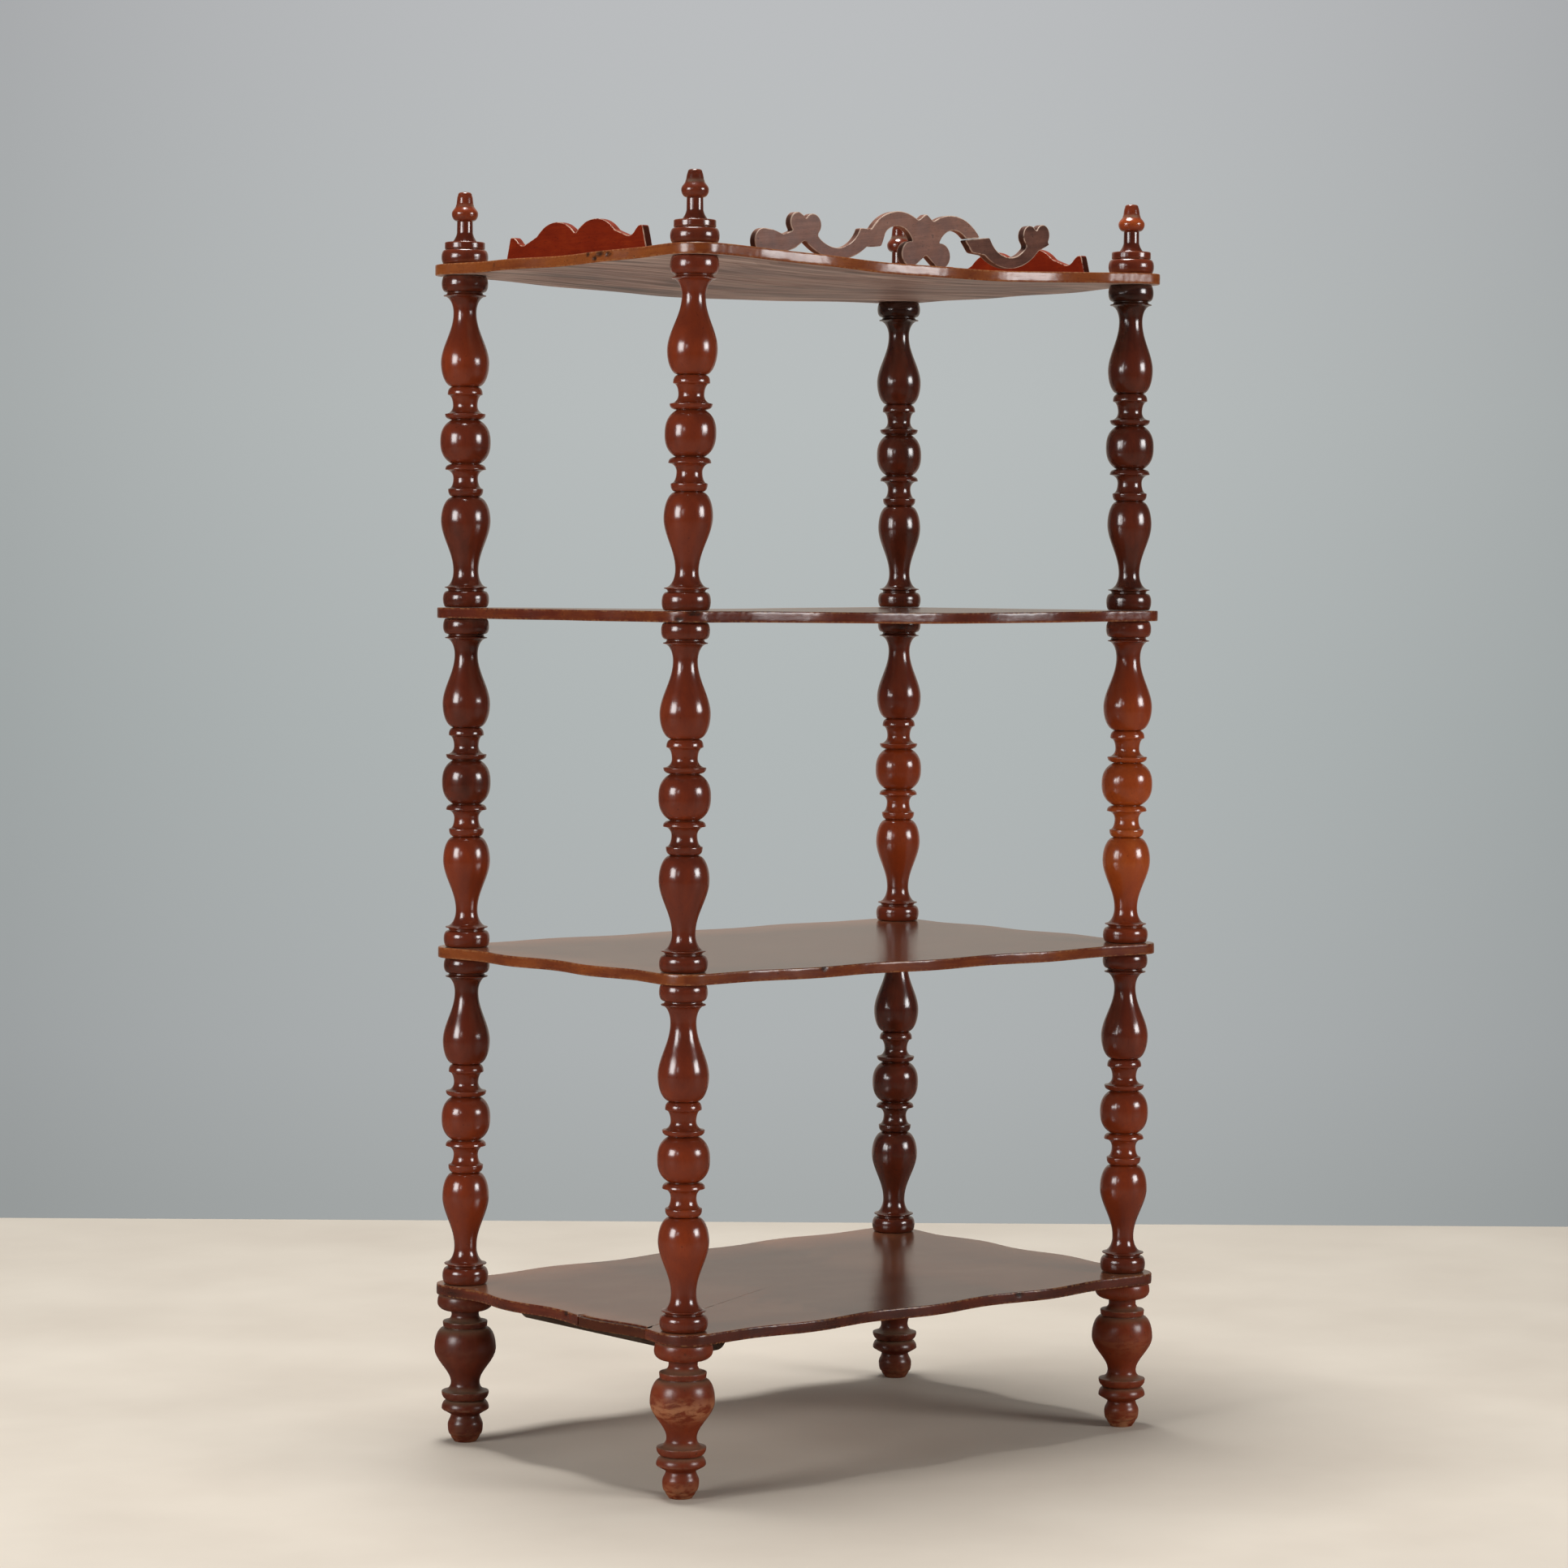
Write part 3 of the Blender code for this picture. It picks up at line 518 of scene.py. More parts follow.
finial = dict(
    ball=13.7, sides=64, rubAndGlint=0.9, stainHeights=(22.8, 42.6, 52, 62.8), dustHeight=60.2,
    strokes=[  # from the shelf: a ring, a disc, the flare and neck, the ball, and the blunt cone of the cap
        ("swell", 19.9, 15, 16, 24.2), ("line", 19.9, 15.5), ("line", 20.8, 16), ("line", 20.8, 22.1),
        ("line", 20.2, 22.8), ("line", 12.9, 23), ("line", 11.1, 25.7), ("line", 9.7, 28.1),
        ("line", 8.8, 30.4), ("line", 8.3, 32.4), ("line", 8.1, 44.6), ("out", "ball", 52, 12),
        ("ease", 9.4, 60.8, 16, 1.15), ("line", 8.9, 61.8), ("line", 8, "capSide"),
        ("line", 7.2, "capEdge"), ("up", 4.6, "capTop", 8), ("line", 1, "height")],
)
# How much wider the ball of each finial is, and the stain at its foot, neck, ball and cap
finialHabits = {"rear_right": (-0.1, 0.4, 0.42, 0.46, 0.34), "rear_left": (0.3, 0.46, 0.3, 0.82, 0.5),
                "front_right": (0.0, 0.42, 0.4, 0.6, 0.5), "front_left": (0.0, 0.4, 0.38, 0.42, 0.4)}


def makeFinial(post, wider, *stain):
    base = shelfHigh["top"] + curl[post] + seatGap
    top = boxOf(f"finial_{post}")[1].z - base
    points = drawProfile([(20.6, 0.0)], finial["strokes"], ball=finial["ball"] + wider, capSide=top - 5.6,
                         capEdge=top - 3.2, capTop=top - 0.6, height=top)
    turnPiece(f"finial_{post}", points, post, base, finial, "turning",
              stain=lambda height: np.interp(height, finial["stainHeights"], stain),
              dust=lambda height: np.exp(-((height - finial["dustHeight"]) / 1.7) ** 2))


for post, habits in finialHabits.items():
    makeFinial(post, *habits)
print("finials turned")

shelf = dict(earRadius=28.5, earSwell=4.0, longOverhang=32.5, longWave=4.3, longCrests=3, longMargin=60,
             shortOverhang=25.8, shortWave=4.2, shortCrests=2, shortMargin=48, step=2.0, arris=0.9, wear=0.5,
             wearSize=9.0)
strip = dict(farFromPost=136.0, nearPost=34.0, depth=6.0, gap=0.3, arris=0.6)


# Points of an arc, which may swell towards its sides along Y
def arcPoints(centre, radius, start, end, step=1.5, swell=0.0):
    steps = max(3, round(abs(math.radians(end - start)) * radius / step))
    turns = [math.radians(start + (end - start) * number / steps) for number in range(steps + 1)]
    return [(centre[0] + (radius + swell * math.sin(turn) ** 2) * math.cos(turn),
             centre[1] + (radius + swell * math.sin(turn) ** 2) * math.sin(turn)) for turn in turns]


# The closed outline again, without points that nearly meet, and with more where two stand further apart than
# the step
def steppedOutline(outline, step, least=0.35):
    outline = [spot for number, spot in enumerate(outline) if math.dist(spot, outline[number - 1]) > least]
    stepped = []
    for start, end in zip(outline, outline[1:] + outline[:1]):
        count = max(1, round(math.dist(start, end) / step))
        stepped += [between(start, end, number / count, number / count) for number in range(count)]
    return stepped


# How far the short and the long edges stand out from the post line, at a distance along them
def shortReach(along):
    turn = math.pi * shelf["shortCrests"] * along / (halfY - shelf["shortMargin"])
    return shelf["shortOverhang"] - shelf["shortWave"] * math.cos(turn)


def longReach(along):
    turn = math.pi * shelf["longCrests"] * along / (halfX - shelf["longMargin"])
    return shelf["longOverhang"] + shelf["longWave"] * math.cos(turn)


# The outline of a board, counter-clockwise, with the notch for the let-in strip where it has one
def boardOutline(notched):
    s = SimpleNamespace(**shelf)
    shortRun, longRun = [np.linspace(-half, half, round(2 * half / s.step)).tolist()
                         for half in (halfY - s.shortMargin, halfX - s.longMargin)]
    right = [(halfX + shortReach(along), along) for along in shortRun]
    if notched:
        low, high = halfY - strip["farFromPost"], halfY - strip["nearPost"]
        right = [spot for spot in right if spot[1] < low - 0.5] + [(halfX + shortReach(low), low)]
        right += [(halfX + shortReach(along) - strip["depth"], along)
                  for along in [*np.arange(low, high, s.step), high]]
        right.append((halfX + shortReach(high), high))
    rear = [(-along, halfY + longReach(along)) for along in longRun]
    left = [(-halfX - shortReach(along), -along) for along in shortRun]
    front = [(along, -halfY - longReach(along)) for along in longRun]
    outline = []
    for side, x, y, start in ((right, halfX, halfY, -20), (rear, -halfX, halfY, 88),
                              (left, -halfX, -halfY, 160), (front, halfX, -halfY, -92)):
        outline += side + arcPoints((x, y), s.earRadius, start, start + 112, s.step, s.earSwell)
    return steppedOutline(outline, s.step)


# The board's section from the middle of its underside, round the edge, to the middle of its top: share of the
# outline, inset from it, height, and whether it is underside (0), arris (1), edge (2) or top (3)
def boardSection(thickness):
    a = shelf["arris"]
    shares = (0.0, 0.2, 0.38, 0.54, 0.68, 0.8, 0.89, 0.95, 0.98)
    edge = np.linspace(a + 1.2, thickness - a - 1.2, 5)
    rows = [(share, 0.0, 0.0, 0) for share in shares] + [(1.0, 2.4, 0.0, 0), (1.0, a, 0.05, 0)]
    rows += [(1.0, a * 0.3, a * 0.35, 1), (1.0, 0.05, a, 1)] + [(1.0, 0.0, height, 2) for height in edge]
    rows += [(1.0, 0.05, thickness - a, 1), (1.0, a * 0.3, thickness - a * 0.35, 1)]
    rows += [(1.0, a, thickness - 0.05, 1), (1.0, 2.4, thickness, 3)]
    return rows + [(share, 0.0, thickness, 3) for share in reversed(shares)]


# A Geometry Nodes tree with named inputs of each kind, what adds a node to it, and its inputs' sockets
def newTree(name, output, **inputs):
    tree = bpy.data.node_groups.new(name, "GeometryNodeTree")
    for kind, keys in inputs.items():
        for key in keys.split(", "):
            tree.interface.new_socket(key, in_out="INPUT", socket_type=f"NodeSocket{kind}")
    tree.interface.new_socket(output, in_out="OUTPUT", socket_type="NodeSocketGeometry")
    return tree, partial(addNode, tree), addNode(tree, "NodeGroupInput").outputs


# The tree that every shelf shares: it carries the section round the outline, knocks back the arris, sinks the
# middle and racks the corners.
def shelfTree():
    tree, add, given = newTree(
        "wavyShelfBoard", "Board", Geometry="Outline", Object="Section", Int="Columns, Rows",
        Float="Wear, Wear Size, Seed, Sag, Sag Centre, Sag Reach, Half X, Half Y",
        Vector="Rear Right, Rear Left, Front Right, Front Left",
        Material="Top Finish, Edge Finish, Underside Finish")
    section = add("GeometryNodeObjectInfo", {"Object": given["Section"]}).outputs["Geometry"]
    position = add("GeometryNodeInputPosition")
    zone = add("GeometryNodeInputNamedAttribute", {"Name": "zone"}, data_type="FLOAT")
    columns = add("Math", [given["Columns"], 1.0], operation="ADD")
    grid = add("GeometryNodeMeshGrid", {"Vertices X": columns, "Vertices Y": given["Rows"]})

    # A grid counts its points a column at a time
    index = add("GeometryNodeInputIndex")
    row = add("Math", [index, given["Rows"]], operation="FLOORED_MODULO")
    column = add("Math", [index, 0.5], operation="ADD")
    column = add("Math", [add("Math", [column, given["Rows"]], operation="DIVIDE")], operation="FLOOR")
    neighbours = []
    for step in (-1.0, 0.0, 1.0):
        near = add("Math", [column, step], operation="ADD")
        near = add("Math", [near, given["Columns"]], operation="FLOORED_MODULO")
        neighbours.append(add("GeometryNodeSampleIndex", {"Geometry": given["Outline"], "Value": position,
                                                          "Index": near}, data_type="FLOAT_VECTOR"))
    before, here, after = neighbours
    tangent = add("VectorMath", [after, before], operation="SUBTRACT")
    outward = add("VectorMath", [tangent, (0, 0, 1)], operation="CROSS_PRODUCT")
    outward = add("VectorMath", [outward], operation="NORMALIZE")
    shape = add("GeometryNodeSampleIndex", {"Geometry": section, "Value": position, "Index": row},
                data_type="FLOAT_VECTOR")
    share, inset, height = add("SeparateXYZ", [shape]).outputs
    zone = add("GeometryNodeSampleIndex", {"Geometry": section, "Value": zone, "Index": row},
               data_type="FLOAT")

    # Knocks only take wood away: most on the arrises, half as much on the flat of the edge, none on the faces
    seeded = add("CombineXYZ", [given["Seed"], given["Seed"], height])
    spot = add("VectorMath", [here, seeded], operation="ADD")
    finer = add("Math", [1.0, given["Wear Size"]], operation="DIVIDE")
    knock = add("TexNoise", {"Vector": spot, "Scale": finer, "Detail": 3.0, "Roughness": 0.6})
    knock = add("MapRange", [knock, 0.42, 0.75, 0, given["Wear"]])
    onArris = add("Math", [zone, 1.0, 0.1], operation="COMPARE")
    onEdge = add("Math", [zone, 2.0, 0.1], operation="COMPARE")
    worn = add("Math", [onEdge, 0.5, onArris], operation="MULTIPLY_ADD")
    inset = add("Math", [knock, worn, inset], operation="MULTIPLY_ADD")
    inward = add("VectorMath", {0: outward, "Scale": inset}, operation="SCALE")
    flat = add("VectorMath", {0: here, "Scale": share}, operation="SCALE")
    x, y, _ = add("SeparateXYZ", [add("VectorMath", [flat, inward], operation="SUBTRACT")]).outputs

    # The middle sinks along X, and the corners carry the rest with them
    distance = add("Math", [x, given["Sag Centre"]], operation="SUBTRACT")
    distance = add("Math", [distance], operation="ABSOLUTE")
    sag = add("MapRange", [distance, given["Sag Reach"], 0, 0, given["Sag"]], interpolation_type="SMOOTHSTEP")
    height = add("Math", [height, sag], operation="SUBTRACT")
    u, v = [add("Math", [add("Math", [axis, half], operation="DIVIDE"), 0.5, 0.5], operation="MULTIPLY_ADD")
            for axis, half in ((x, given["Half X"]), (y, given["Half Y"]))]
    frontShift, rearShift = [
        add("Mix", {0: u, 4: given[f"{end} Left"], 5: given[f"{end} Right"]}, data_type="VECTOR",
            clamp_factor=False) for end in ("Front", "Rear")]
    shift = add("Mix", {0: v, 4: frontShift, 5: rearShift}, data_type="VECTOR", clamp_factor=False)
    place = add("VectorMath", [add("CombineXYZ", [x, y, height]), shift], operation="ADD")
    board = add("GeometryNodeSetPosition", {"Geometry": grid, "Position": place})
    underside = add("Math", [zone, 0.5], operation="LESS_THAN")
    face = add("Math", [zone, 2.5], operation="GREATER_THAN")
    for name, value in (("arris", onArris), ("underside", underside), ("face", face)):
        board = add("GeometryNodeStoreNamedAttribute", {"Geometry": board, "Name": name, "Value": value},
                    data_type="FLOAT", domain="POINT")
    board = add("GeometryNodeMergeByDistance", {"Geometry": board, "Distance": 0.00001})
    board = add("GeometryNodeRealizeInstances", [board])
    board = add("GeometryNodeSetMaterial", {"Geometry": board, "Material": given["Edge Finish"]})
    for name, finish in (("underside", "Underside Finish"), ("face", "Top Finish")):
        marked = add("GeometryNodeInputNamedAttribute", {"Name": name}, data_type="FLOAT")
        marked = add("Math", [marked, 0.6], operation="GREATER_THAN")
        board = add("GeometryNodeSetMaterial", {"Geometry": board, "Selection": marked,
                                                "Material": given[finish]})
    add("NodeGroupOutput", [board])
    return tree


# Runs a tree on a mesh of points, and gives back the result as a plain mesh
def grown(name, spots, tree, values):
    mesh = bpy.data.meshes.new(name)
    mesh.from_pydata(spots, [], [])
    maker = putInScene(name, mesh)
    modifier = maker.modifiers.new(name, "NODES")
    modifier.node_group = tree
    sockets = {item.name: item.identifier for item in tree.interface.items_tree if item.in_out == "INPUT"}
    for key, value in values.items():
        modifier[sockets[key]] = value
    bpy.context.view_layer.update()
    result = bpy.data.meshes.new_from_object(maker.evaluated_get(bpy.context.evaluated_depsgraph_get()))
    while None in list(result.materials):
        result.materials.pop(index=list(result.materials).index(None))
    maker.modifiers.clear()
    bpy.data.objects.remove(maker)
    return result


# Knocks and tears in the shelf edges: (x, y, height up the edge, half length, depth), in millimetres
knocks = {
    "top": [(327, 74, 8, 7, 2.4), (327, 66, 4, 4, 1.6), (326, 86, 7, 5, 1.3), (326, 55, 9, 4, 1.0),
            (328, -101, 6, 3, 0.9), (-210, -216, 8, 7, 1.2)],
    "upper_middle": [(312, 208, 9, 9, 1.2), (322, 198, 3, 5, 1.0), (-326, 40, 8, 6, 1.1)],
    "lower_middle": [(150, 215, 9, 5, 1.0), (-60, -216, 8, 6, 1.0)],
    "bottom": [(325, 20, 9, 6, 1.2), (-120, 216, 8, 6, 1.1)],
}
# How much lighter or darker the edges of each shelf are than the finish alone
edgeStain = {"bottom": -0.24, "lower_middle": -0.03, "upper_middle": -0.15, "top": 0.12}


# Draws the edge's points near each knock into the board, unevenly, and marks them as torn
def knockEdge(tier, mesh):
    rng = random.Random(tier)
    spots = np.empty(len(mesh.vertices) * 3, np.float32)
    mesh.vertices.foreach_get("co", spots)
    spots = spots.reshape(-1, 3)
    torn = np.zeros(len(spots))
    for x, y, height, length, depth in knocks[tier]:
        away = spots / mm - np.array([x, y, shelfLow[tier] + height])
        reach = (away[:, 0] ** 2 + away[:, 1] ** 2) / length ** 2 + (away[:, 2] / 3.2) ** 2
        jag = np.array([rng.uniform(0.5, 1.0) for _ in range(64)])[(np.arange(len(spots)) // 3) % 64]
        pull = np.clip(1.15 - reach, 0, 1) * jag
        spots -= (pull * depth * mm)[:, None] * np.array([x, y, 0.0]) / math.hypot(x, y)
        torn = np.maximum(torn, np.clip(pull * 1.6, 0, 1))
    if tier == "top":
        spots[:, 2] += curlAt(spots[:, 0] / mm, spots[:, 1] / mm) * mm
    mesh.vertices.foreach_set("co", spots.ravel())
    giveAttribute(mesh, "torn", torn)
    fromMiddle = np.abs(spots[:, 2] / mm - (shelfLow[tier] + shelfHigh[tier]) / 2)
    onLongEdge = np.abs(spots[:, 1] / mm) > halfY + 20
    giveAttribute(mesh, "stain", (edgeStain[tier] - 0.08 * onLongEdge) * (fromMiddle < 5.3))


boardTree = shelfTree()
for number, tier in enumerate(tierNames):
    outline = boardOutline(tier == "bottom")
    rows = boardSection(shelfHigh[tier] - shelfLow[tier])
    section = bpy.data.meshes.new("boardSection")
    spots = [(share, inset * mm, (shelfLow[tier] + height) * mm) for share, inset, height, _ in rows]
    section.from_pydata(spots, [], [])
    giveAttribute(section, "zone", [row[3] for row in rows])
    sectionObject = putInScene("boardSection", section)
    depth, centre, reach = sunk[tier]
    corners = {post.replace("_", " ").title(): (dx * mm, dy * mm, 0.0)
               for post, (dx, dy) in zip(postNames, settled[tier])}
    mesh = grown("wavyShelfBoard", [(x * mm, y * mm, 0) for x, y in outline], boardTree, {
        "Section": sectionObject, "Columns": len(outline), "Rows": len(rows), "Wear": shelf["wear"] * mm,
        "Wear Size": shelf["wearSize"] * mm, "Seed": 0.7 * number, "Sag": depth * mm,
        "Sag Centre": centre * mm, "Sag Reach": reach * mm, "Half X": halfX * mm, "Half Y": halfY * mm,
        "Top Finish": woods["board"], "Edge Finish": woods["edge"], "Underside Finish": woods["underside"],
        **corners})
    bpy.data.objects.remove(sectionObject)
    knockEdge(tier, mesh)
    mesh.shade_smooth()
    addPiece(f"shelf_{tier}_board", mesh, "shelf_board", f"shelf_{tier}")
print("shelf boards made:", len(mesh.polygons), "faces in the last")


# A board sawn to an outline of (u, v) in millimetres, counter-clockwise, and w deep, its arrises rubbed
# round. Placing turns u, v and w into millimetres in the room. Faces whose normal runs along the grain count
# as sawn.
def sawPiece(node, ending, slot, outline, thickness, arris, finish, placing, grain=0, stain=0.0):
    name = f"{node}_{ending}"
    rng = random.Random(name)
    edge = np.array(outline)
    for _ in range(2):
        edge = (np.roll(edge, 1, 0) + 2 * edge + np.roll(edge, -1, 0)) / 4
    run = edge - np.roll(edge, 1, 0)
    length = np.linalg.norm(run, axis=1)
    normal = np.stack([run[:, 1], -run[:, 0]], axis=1) / length[:, None]
    mitre = (normal + np.roll(normal, -1, 0)) / 2
    worn = 1.0
    for wave in (5, 11, 23):
        swing = rng.uniform(0.15, 0.3)
        worn = worn + swing * np.sin(np.cumsum(length) / wave * rng.uniform(0.8, 1.2) + rng.uniform(0, 6))
    worn = np.clip(worn, 0.5, 1.3)
    a, t = arris, thickness
    rows = [(1.4 * a, 0, 0), (a, 0.02, 0.7), (0.3 * a, 0.3 * a, 1), (0, a, 0.6), (0, 2 * a, 0)]
    rows = rows + [(0, t / 2, 0)] + [(inset, t - depth, mark) for inset, depth, mark in reversed(rows)]
    endGrain = np.clip((np.abs(mitre[:, grain]) - 0.55) / 0.3, 0, 1)
    spots, rub, sawn = [], [], []
    for number, (inset, depth, mark) in enumerate(rows):
        spots += [(u, v, depth) for u, v in edge - mitre * inset * worn[:, None]]
        rub += [mark] * len(edge)
        sawn += list(endGrain * (2 < number < 8))
    mesh = ringedMesh(name, np.stack(placing(*np.array(spots).T), axis=1) * mm, len(edge))
    giveAttribute(mesh, "arris", rub)
    giveAttribute(mesh, "sawn", sawn)
    giveAttribute(mesh, "stain", np.full(len(spots), stain))
    cleaned = bmesh.new()
    cleaned.from_mesh(mesh)
    bmesh.ops.recalc_face_normals(cleaned, faces=cleaned.faces)
    for face in cleaned.faces:
        face.smooth = len(face.verts) == 4
    cleaned.to_mesh(mesh)
    cleaned.free()
    mesh.materials.append(woods[finish])
    addPiece(name, mesh, slot, node)


# The fret is drawn in 225ths of its half length, as (distance from its middle, height).
fret = dict(
    finialGap=50.4, inset=19.8, thickness=8.5, arris=0.7, crack=0.5, tilt=4.5, twist=4.4, taller=1.04,
    units=225,
    archOuter=((35, 5.4), 46.9, 122, 35), archInner=((38, 16), 22, 41, 158),
    middleLobe=((20.5, 12.3), 12.3, 96, -128), scrollInner=((120, 46), 35, 204, 313),
    innerHeart=((149.7, 30.7), 10.2, 232, 24), outerHeart=((169.3, 30.5), 10.2, 156, -50),
    endLobe=((211.8, 8.1), 13.2, 100, -35), scrollOuter=((120.5, 63), 63, 310, 229.5),
    apex=(0, 52.3), cusp=(0, 12.3), leg=(60.3, 16.8), blockCorner=(88.6, 32.4), scrollCusp=(161, 14.6),
    tail=[(188, 17.7), (201.5, 20.8)], sole=[(198, 0), (185, 1.6), (173, 6)],
    breakStart=(51.4, 30.8), breakEnd=(60.9, 18.2), brokenTail=(179, 20.4), brokenStain=-0.28,
)
finialFoot = 24.3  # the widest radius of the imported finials
gallerySeat = shelfHigh["top"] + seatGap


def mirrored(points):
    return [(-u, v) for u, v in reversed(points)]


def makeFret():
    f = SimpleNamespace(**fret)
    unit = (halfX - finialFoot - f.finialGap) / f.units
    archOuter, archInner, middleLobe, scrollInner, innerHeart, outerHeart, endLobe, scrollOuter = [
        arcPoints(*arc, step=1.3)
        for arc in (f.archOuter, f.archInner, f.middleLobe, f.scrollInner, f.innerHeart, f.outerHeart,
                    f.endLobe, f.scrollOuter)]
    scroll = [f.blockCorner] + scrollInner + innerHeart + outerHeart
    right = archOuter + scroll + f.tail + endLobe + f.sole + [f.scrollCusp] + scrollOuter + [f.leg]
    whole = [f.apex] + right + archInner + middleLobe + [f.cusp]
    whole += mirrored(archOuter + archInner + middleLobe)
    crack = (archOuter[-1][0], archOuter[-1][1] - f.crack)
    broken = [f.breakStart, crack] + scroll + [f.brokenTail, f.scrollCusp] + scrollOuter + [f.breakEnd]
    y = halfY + shelf["earRadius"] - f.inset
    pivot = np.array((-crack[0] * unit, 0, crack[1] * unit * f.taller))
    turn = Matrix.Rotation(math.radians(f.twist), 3, "Z") @ Matrix.Rotation(math.radians(f.tilt), 3, "Y")

    def standing(u, v, w):
        return onTopBoard(u, y - w, gallerySeat + v)

    def fallen(u, v, w):
        flat = np.stack([u, f.thickness / 2 - w, v], axis=1) - pivot
        return onTopBoard(*(flat @ np.array(turn).T + pivot + (0, y - f.thickness / 2, gallerySeat)).T)

    for node, outline, placing, stain in (("fret_gallery", whole, standing, 0.0),
                                          ("fret_broken_scroll", mirrored(broken), fallen, f.brokenStain)):
        sized = steppedOutline([(u * unit, v * unit * f.taller) for u, v in outline], 1.6, 1.0)[::-1]
        sawPiece(node, "sawn", "gallery_board", sized, f.thickness, f.arris, "fret", placing, stain=stain)


makeFret()

endBoard = dict(
    finialGap=44.0, inset=28.5, thickness=8.5, arris=0.6, height=36.0, notch=22.6, humpOffset=32.0,
    coveHeight=15.0, coveRadius=12.0, coveInset=15.0, hornHeight=24.0, hornWidth=6.0, slope=7.0,
    leftShift=6.0,
)


def makeEndBoards():
    e = SimpleNamespace(**endBoard)
    length = halfY - finialFoot - e.finialGap
    horn = length - e.slope
    rise = e.height - e.notch
    humpRadius = (e.humpOffset ** 2 + rise ** 2) / (2 * rise)
    half = [(length, 0), (horn, e.hornHeight), (horn - e.hornWidth, e.hornHeight)]
    cove = (horn - e.hornWidth - e.coveInset, e.coveHeight + e.coveRadius)
    half += arcPoints(cove, e.coveRadius, -38, -110)
    half += arcPoints((e.humpOffset, e.height - humpRadius), humpRadius, 45, 128)
    outline = steppedOutline(half + [(0, e.notch)] + mirrored(half), 1.6)
    for side, sign, y in (("right", 1, 0), ("left", -1, e.leftShift)):
        x = sign * (halfX + shelf["earRadius"] - e.inset - e.thickness / 2) - e.thickness / 2
        sawPiece(f"gallery_end_{side}", "sawn", "gallery_board", outline, e.thickness, e.arris, "endBoard",
                 lambda u, v, w: onTopBoard(x + w, y + u, gallerySeat + v))


makeEndBoards()
print("gallery boards sawn")

batten = dict(width=56.0, chamfer=7.0, arris=0.8)
for side in ("left", "right"):
    low, high = boxOf(f"batten_{side}")
    middle, half, chamfer = (low.x + high.x) / 2, batten["width"] / 2, batten["chamfer"]
    section = [(half, high.z), (-half, high.z), (-half, low.z + chamfer), (chamfer - half, low.z),
               (half - chamfer, low.z), (half, low.z + chamfer)]
    sawPiece(f"batten_{side}", "planed", "raw_wood", steppedOutline(section, 3.5), high.y - low.y,
             batten["arris"], "batten", lambda u, v, w: (middle + u, low.y + w, v))


def makeStrip():
    s = SimpleNamespace(**strip)
    low, high = boxOf("edge_repair_strip")
    alongs = np.linspace(halfY - s.farFromPost + s.gap, halfY - s.nearPost - s.gap, 64).tolist()
    outer = [(halfX + shortReach(along), along) for along in alongs]
    inner = [(x - s.depth + s.gap, along) for x, along in reversed(outer)]
    sawPiece("edge_repair_strip", "fitted", "shelf_board", steppedOutline(outer + inner, 1.6), high.z - low.z,
             s.arris, "strip", lambda u, v, w: (u, v, low.z + w), grain=1)


makeStrip()
print("battens and let-in strip made")

screw = dict(head=4.2, headHeight=3.0, shank=2.1, tip=0.2, length=24.0, slotWidth=0.9, slotDepth=1.0,
             proud=0.5)


# The tree for the batten screws: a countersunk head with its slot turned at random, on a plain shank
def screwTree():
    tree, add, given = newTree(
        "slottedScrews", "Screws", Geometry="Places", Float="Head, Head Height, Shank, Tip, Length",
        Vector="Slot", Int="Seed", Material="Finish")
    head = add("GeometryNodeMeshCone", {"Vertices": 32, "Radius Top": given["Shank"],
                                        "Radius Bottom": given["Head"], "Depth": given["Head Height"]})
    shank = add("GeometryNodeMeshCone", {"Vertices": 24, "Radius Top": given["Tip"],
                                         "Radius Bottom": given["Shank"], "Depth": given["Length"]})
    slot = add("GeometryNodeMeshCube", {"Size": given["Slot"]})
    whole = add("GeometryNodeMeshBoolean", {"Mesh 1": head, "Mesh 2": slot}, operation="DIFFERENCE")
    joined = add("GeometryNodeJoinGeometry", [shank])
    tree.links.new(whole.outputs["Mesh"], joined.inputs["Geometry"])
    turns = add("FunctionNodeRandomValue", {0: (0, 0, 0), 1: (0, 0, math.pi), "Seed": given["Seed"]},
                data_type="FLOAT_VECTOR")
    placed = add("GeometryNodeInstanceOnPoints", {"Points": given["Places"], "Instance": joined,
                                                  "Rotation": add("FunctionNodeEulerToRotation", [turns])})
    placed = add("GeometryNodeRealizeInstances", [placed])
    placed = add("GeometryNodeSetMaterial", {"Geometry": placed, "Material": given["Finish"]})
    add("NodeGroupOutput", [placed])
    return tree


screwNodes = [f"screw_{side}_{end}" for side in ("left", "right") for end in ("front", "rear")]
screwPlaces = []
for node in screwNodes:
    low, high = boxOf(node)
    screwPlaces.append(((low.x + high.x) / 2 * mm, (low.y + high.y) / 2 * mm, (low.z - screw["proud"]) * mm))
screwMesh = grown("slottedScrews", screwPlaces, screwTree(), {
    "Head": screw["head"] * mm, "Head Height": screw["headHeight"] * mm, "Shank": screw["shank"] * mm,
    "Tip": screw["tip"] * mm, "Length": screw["length"] * mm, "Seed": 4, "Finish": steel,
    "Slot": (3 * screw["head"] * mm, screw["slotWidth"] * mm, 2 * screw["slotDepth"] * mm)})
addPiece("batten_screws_slotted", screwMesh, "screw_steel", *screwNodes)
print("screws driven")

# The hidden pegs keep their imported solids
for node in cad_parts:
    if node.startswith("peg_"):
        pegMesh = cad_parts[node].data
        pegMesh.materials.clear()
        pegMesh.materials.append(woods["batten"])

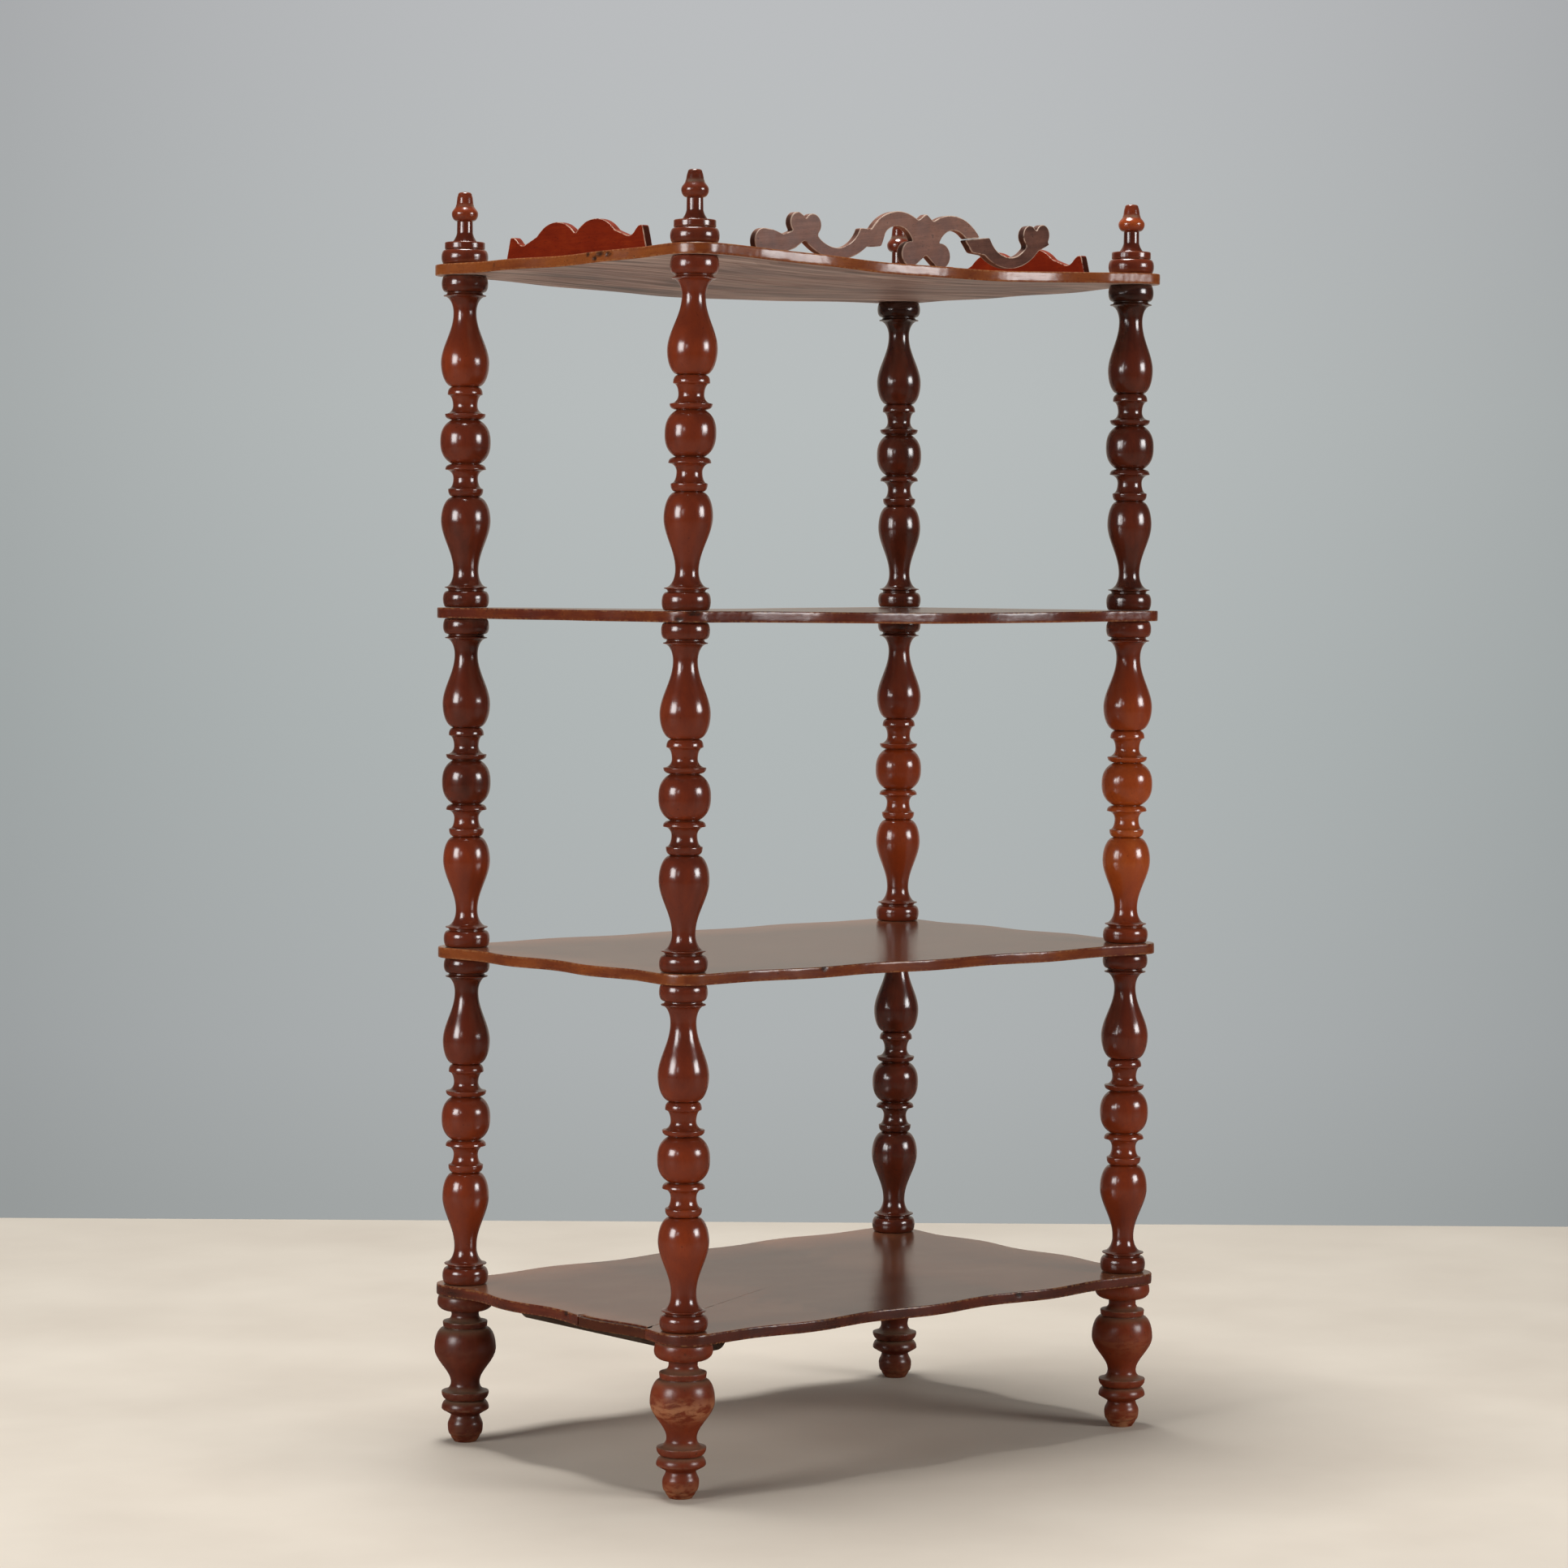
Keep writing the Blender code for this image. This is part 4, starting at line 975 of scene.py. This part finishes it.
studio = dict(towardsCamera=Vector((0.6433, 0.7656, 0.0)), right=Vector((-0.7656, 0.6433, 0.0)),
              wallBehind=1.514, reach=12.0, wallHeight=8.0, airStrength=0.065)


def stagePlane(name, corners, material):
    mesh = bpy.data.meshes.new(name)
    mesh.from_pydata([tuple(corner) for corner in corners], [], [(0, 1, 2, 3)])
    mesh.materials.append(material)
    plane = putInScene(name, mesh)
    return plane


# Makes a stage surface clear from behind, so that the shelf shows from every side
def clearBehind(add, surface):
    behind = add("NewGeometry").outputs["Backfacing"]
    add("OutputMaterial", {"Surface": add("MixShader", [behind, surface, add("BsdfTransparent")])})


# Studio floor: pale painted concrete, faintly clouded, and kept low in the shelf's reflections.
def floorFinish():
    material, add = newMaterial("palePaintedFloor")
    where = add("TexCoord").outputs["Object"]
    clouds = add("TexNoise", {"Vector": where, "Scale": 3.0, "Detail": 5.0})
    colour = add("ValToRGB", [clouds], stops={0.3: "#d3c8b9", 0.7: "#dfd5c6"})
    dim = add("Math", [add("LightPath").outputs["Is Glossy Ray"], 0.85], operation="MULTIPLY")
    colour = add("Mix", {0: dim, 6: colour, 7: paint("#1a1714")}, data_type="RGBA")
    clearBehind(add, add("BsdfPrincipled", {"Base Color": colour, "Roughness": 0.7,
                                            "Specular IOR Level": 0.2}))
    return material


# Studio wall: a grey-blue that only the camera and reflections see, with its light falloff painted in: paler
# higher up and dimmer towards its sides. Reflections see it in a warm grey, a painted reflection colour, and
# see the unlit studio beyond its middle.
def wallFinish():
    material, add = newMaterial("greyBlueBackdrop")
    where = add("TexCoord").outputs["Object"]
    across = add("VectorMath", [where, studio["right"]], operation="DOT_PRODUCT").outputs["Value"]
    across = add("Math", [across, 2.0], operation="POWER")
    height = add("MapRange", [add("SeparateXYZ", [where]).outputs["Z"], 0, 2])
    colour = add("ValToRGB", [height], stops={0.01: "#a6aaaa", 0.12: "#adb1b2", 0.345: "#b1b7b7",
                                              0.57: "#b8bdbd", 0.845: "#bbbdbf"})
    fall = add("MapRange", [across, 0, 1.2, 1, 0.8])
    unlit = add("MapRange", [across, 1.0, 3.2, 0, 0.85])
    inReflection = add("LightPath").outputs["Is Glossy Ray"]
    colour = add("Mix", {0: inReflection, 6: colour, 7: paint("#b8b0a6")}, data_type="RGBA")
    unlit = add("Math", [unlit, inReflection], operation="MULTIPLY")
    fall = add("Math", [fall, add("Math", [1.0, unlit], operation="SUBTRACT")], operation="MULTIPLY")
    clearBehind(add, add("Emission", {"Color": colour, "Strength": fall}))
    return material


far, side = studio["towardsCamera"] * studio["reach"], studio["right"] * studio["reach"]
back, up = -studio["towardsCamera"] * studio["wallBehind"], Vector((0, 0, studio["wallHeight"]))
stagePlane("studio_floor", [far + side, -far + side, -far - side, far - side], floorFinish())
wall = stagePlane("studio_wall", [back - side, back + side, back + side + up, back - side + up], wallFinish())
wall.visible_diffuse = wall.visible_shadow = False

# The camera, and weakly the reflections, see a grey-blue air. What lights the shelf is paler and very faint.
world = bpy.data.worlds.new("studioAir")
bpy.context.scene.world = world
world.use_nodes = True
world.node_tree.nodes.clear()
add = partial(addNode, world.node_tree)
rays = add("LightPath").outputs
seen = add("Math", [rays["Is Glossy Ray"], 0.1], operation="MULTIPLY")
for ray in ("Is Camera Ray", "Is Transmission Ray"):
    seen = add("Math", [seen, rays[ray]], operation="MAXIMUM")
notDiffuse = add("Math", [1.0, rays["Is Diffuse Ray"]], operation="SUBTRACT")
soft = add("Background", {"Color": paint("#d8d9da"), "Strength": studio["airStrength"]})
shown = add("Background", {"Color": paint("#adb1b3"), "Strength": seen})
add("OutputWorld", {"Surface": add("MixShader", [notDiffuse, soft, shown])})


def hangLamp(name, place, wide, tall, watts):
    lamp = bpy.data.lights.new(name, "AREA")
    lamp.shape, lamp.size, lamp.size_y, lamp.energy = "RECTANGLE", wide, tall, watts
    lampObject = putInScene(name, lamp)
    lampObject.matrix_world = place
    lampObject.visible_camera = False


# Softboxes: degrees to the right of the camera as the shelf sees them, distance, height, width and height in
# metres, and watts
softboxes = {
    "leftSoftbox": (-51, 5.0, 1.9, 2.0, 1.8, 115), "narrowLeftSoftbox": (-26, 5.0, 1.9, 0.45, 0.7, 5),
    "rightSoftbox": (65, 5.0, 1.9, 1.9, 1.4, 105),
}
for name, (turn, distance, height, *sizeAndWatts) in softboxes.items():
    angle = math.radians(turn)
    spot = (studio["towardsCamera"] * math.cos(angle) + studio["right"] * math.sin(angle)) * distance
    spot.z = height
    aim = (Vector((0, 0, 0.7)) - spot).to_track_quat("-Z", "Y").to_matrix().to_4x4()
    hangLamp(name, Matrix.Translation(spot) @ aim, *sizeAndWatts)
hangLamp("ceilingSoftbox", Matrix.Translation((0.1, -0.42, 5.0)), 1.6, 1.6, 219)

# The camera stands at about the height of the upper shelves and looks slightly down.
camera = dict(place=(2.9814, 3.5205, 0.9073), turn=2.4426, tilt=-0.0476, roll=0.0057, lens=100.89)
eye = bpy.data.cameras.new("photoCamera")
eye.lens, eye.sensor_width, eye.clip_start, eye.clip_end = camera["lens"], 36.0, 0.05, 60.0
eyeObject = putInScene("photoCamera", eye)
eyeObject.matrix_world = (
    Matrix.Translation(camera["place"]) @ Matrix.Rotation(camera["turn"], 4, "Z")
    @ Matrix.Rotation(math.pi / 2 + camera["tilt"], 4, "X") @ Matrix.Rotation(camera["roll"], 4, "Z"))
bpy.context.scene.camera = eyeObject
bpy.context.scene.view_settings.view_transform = "Standard"
print("studio lit")

bpy.context.view_layer.update()
print("whatnot finished")
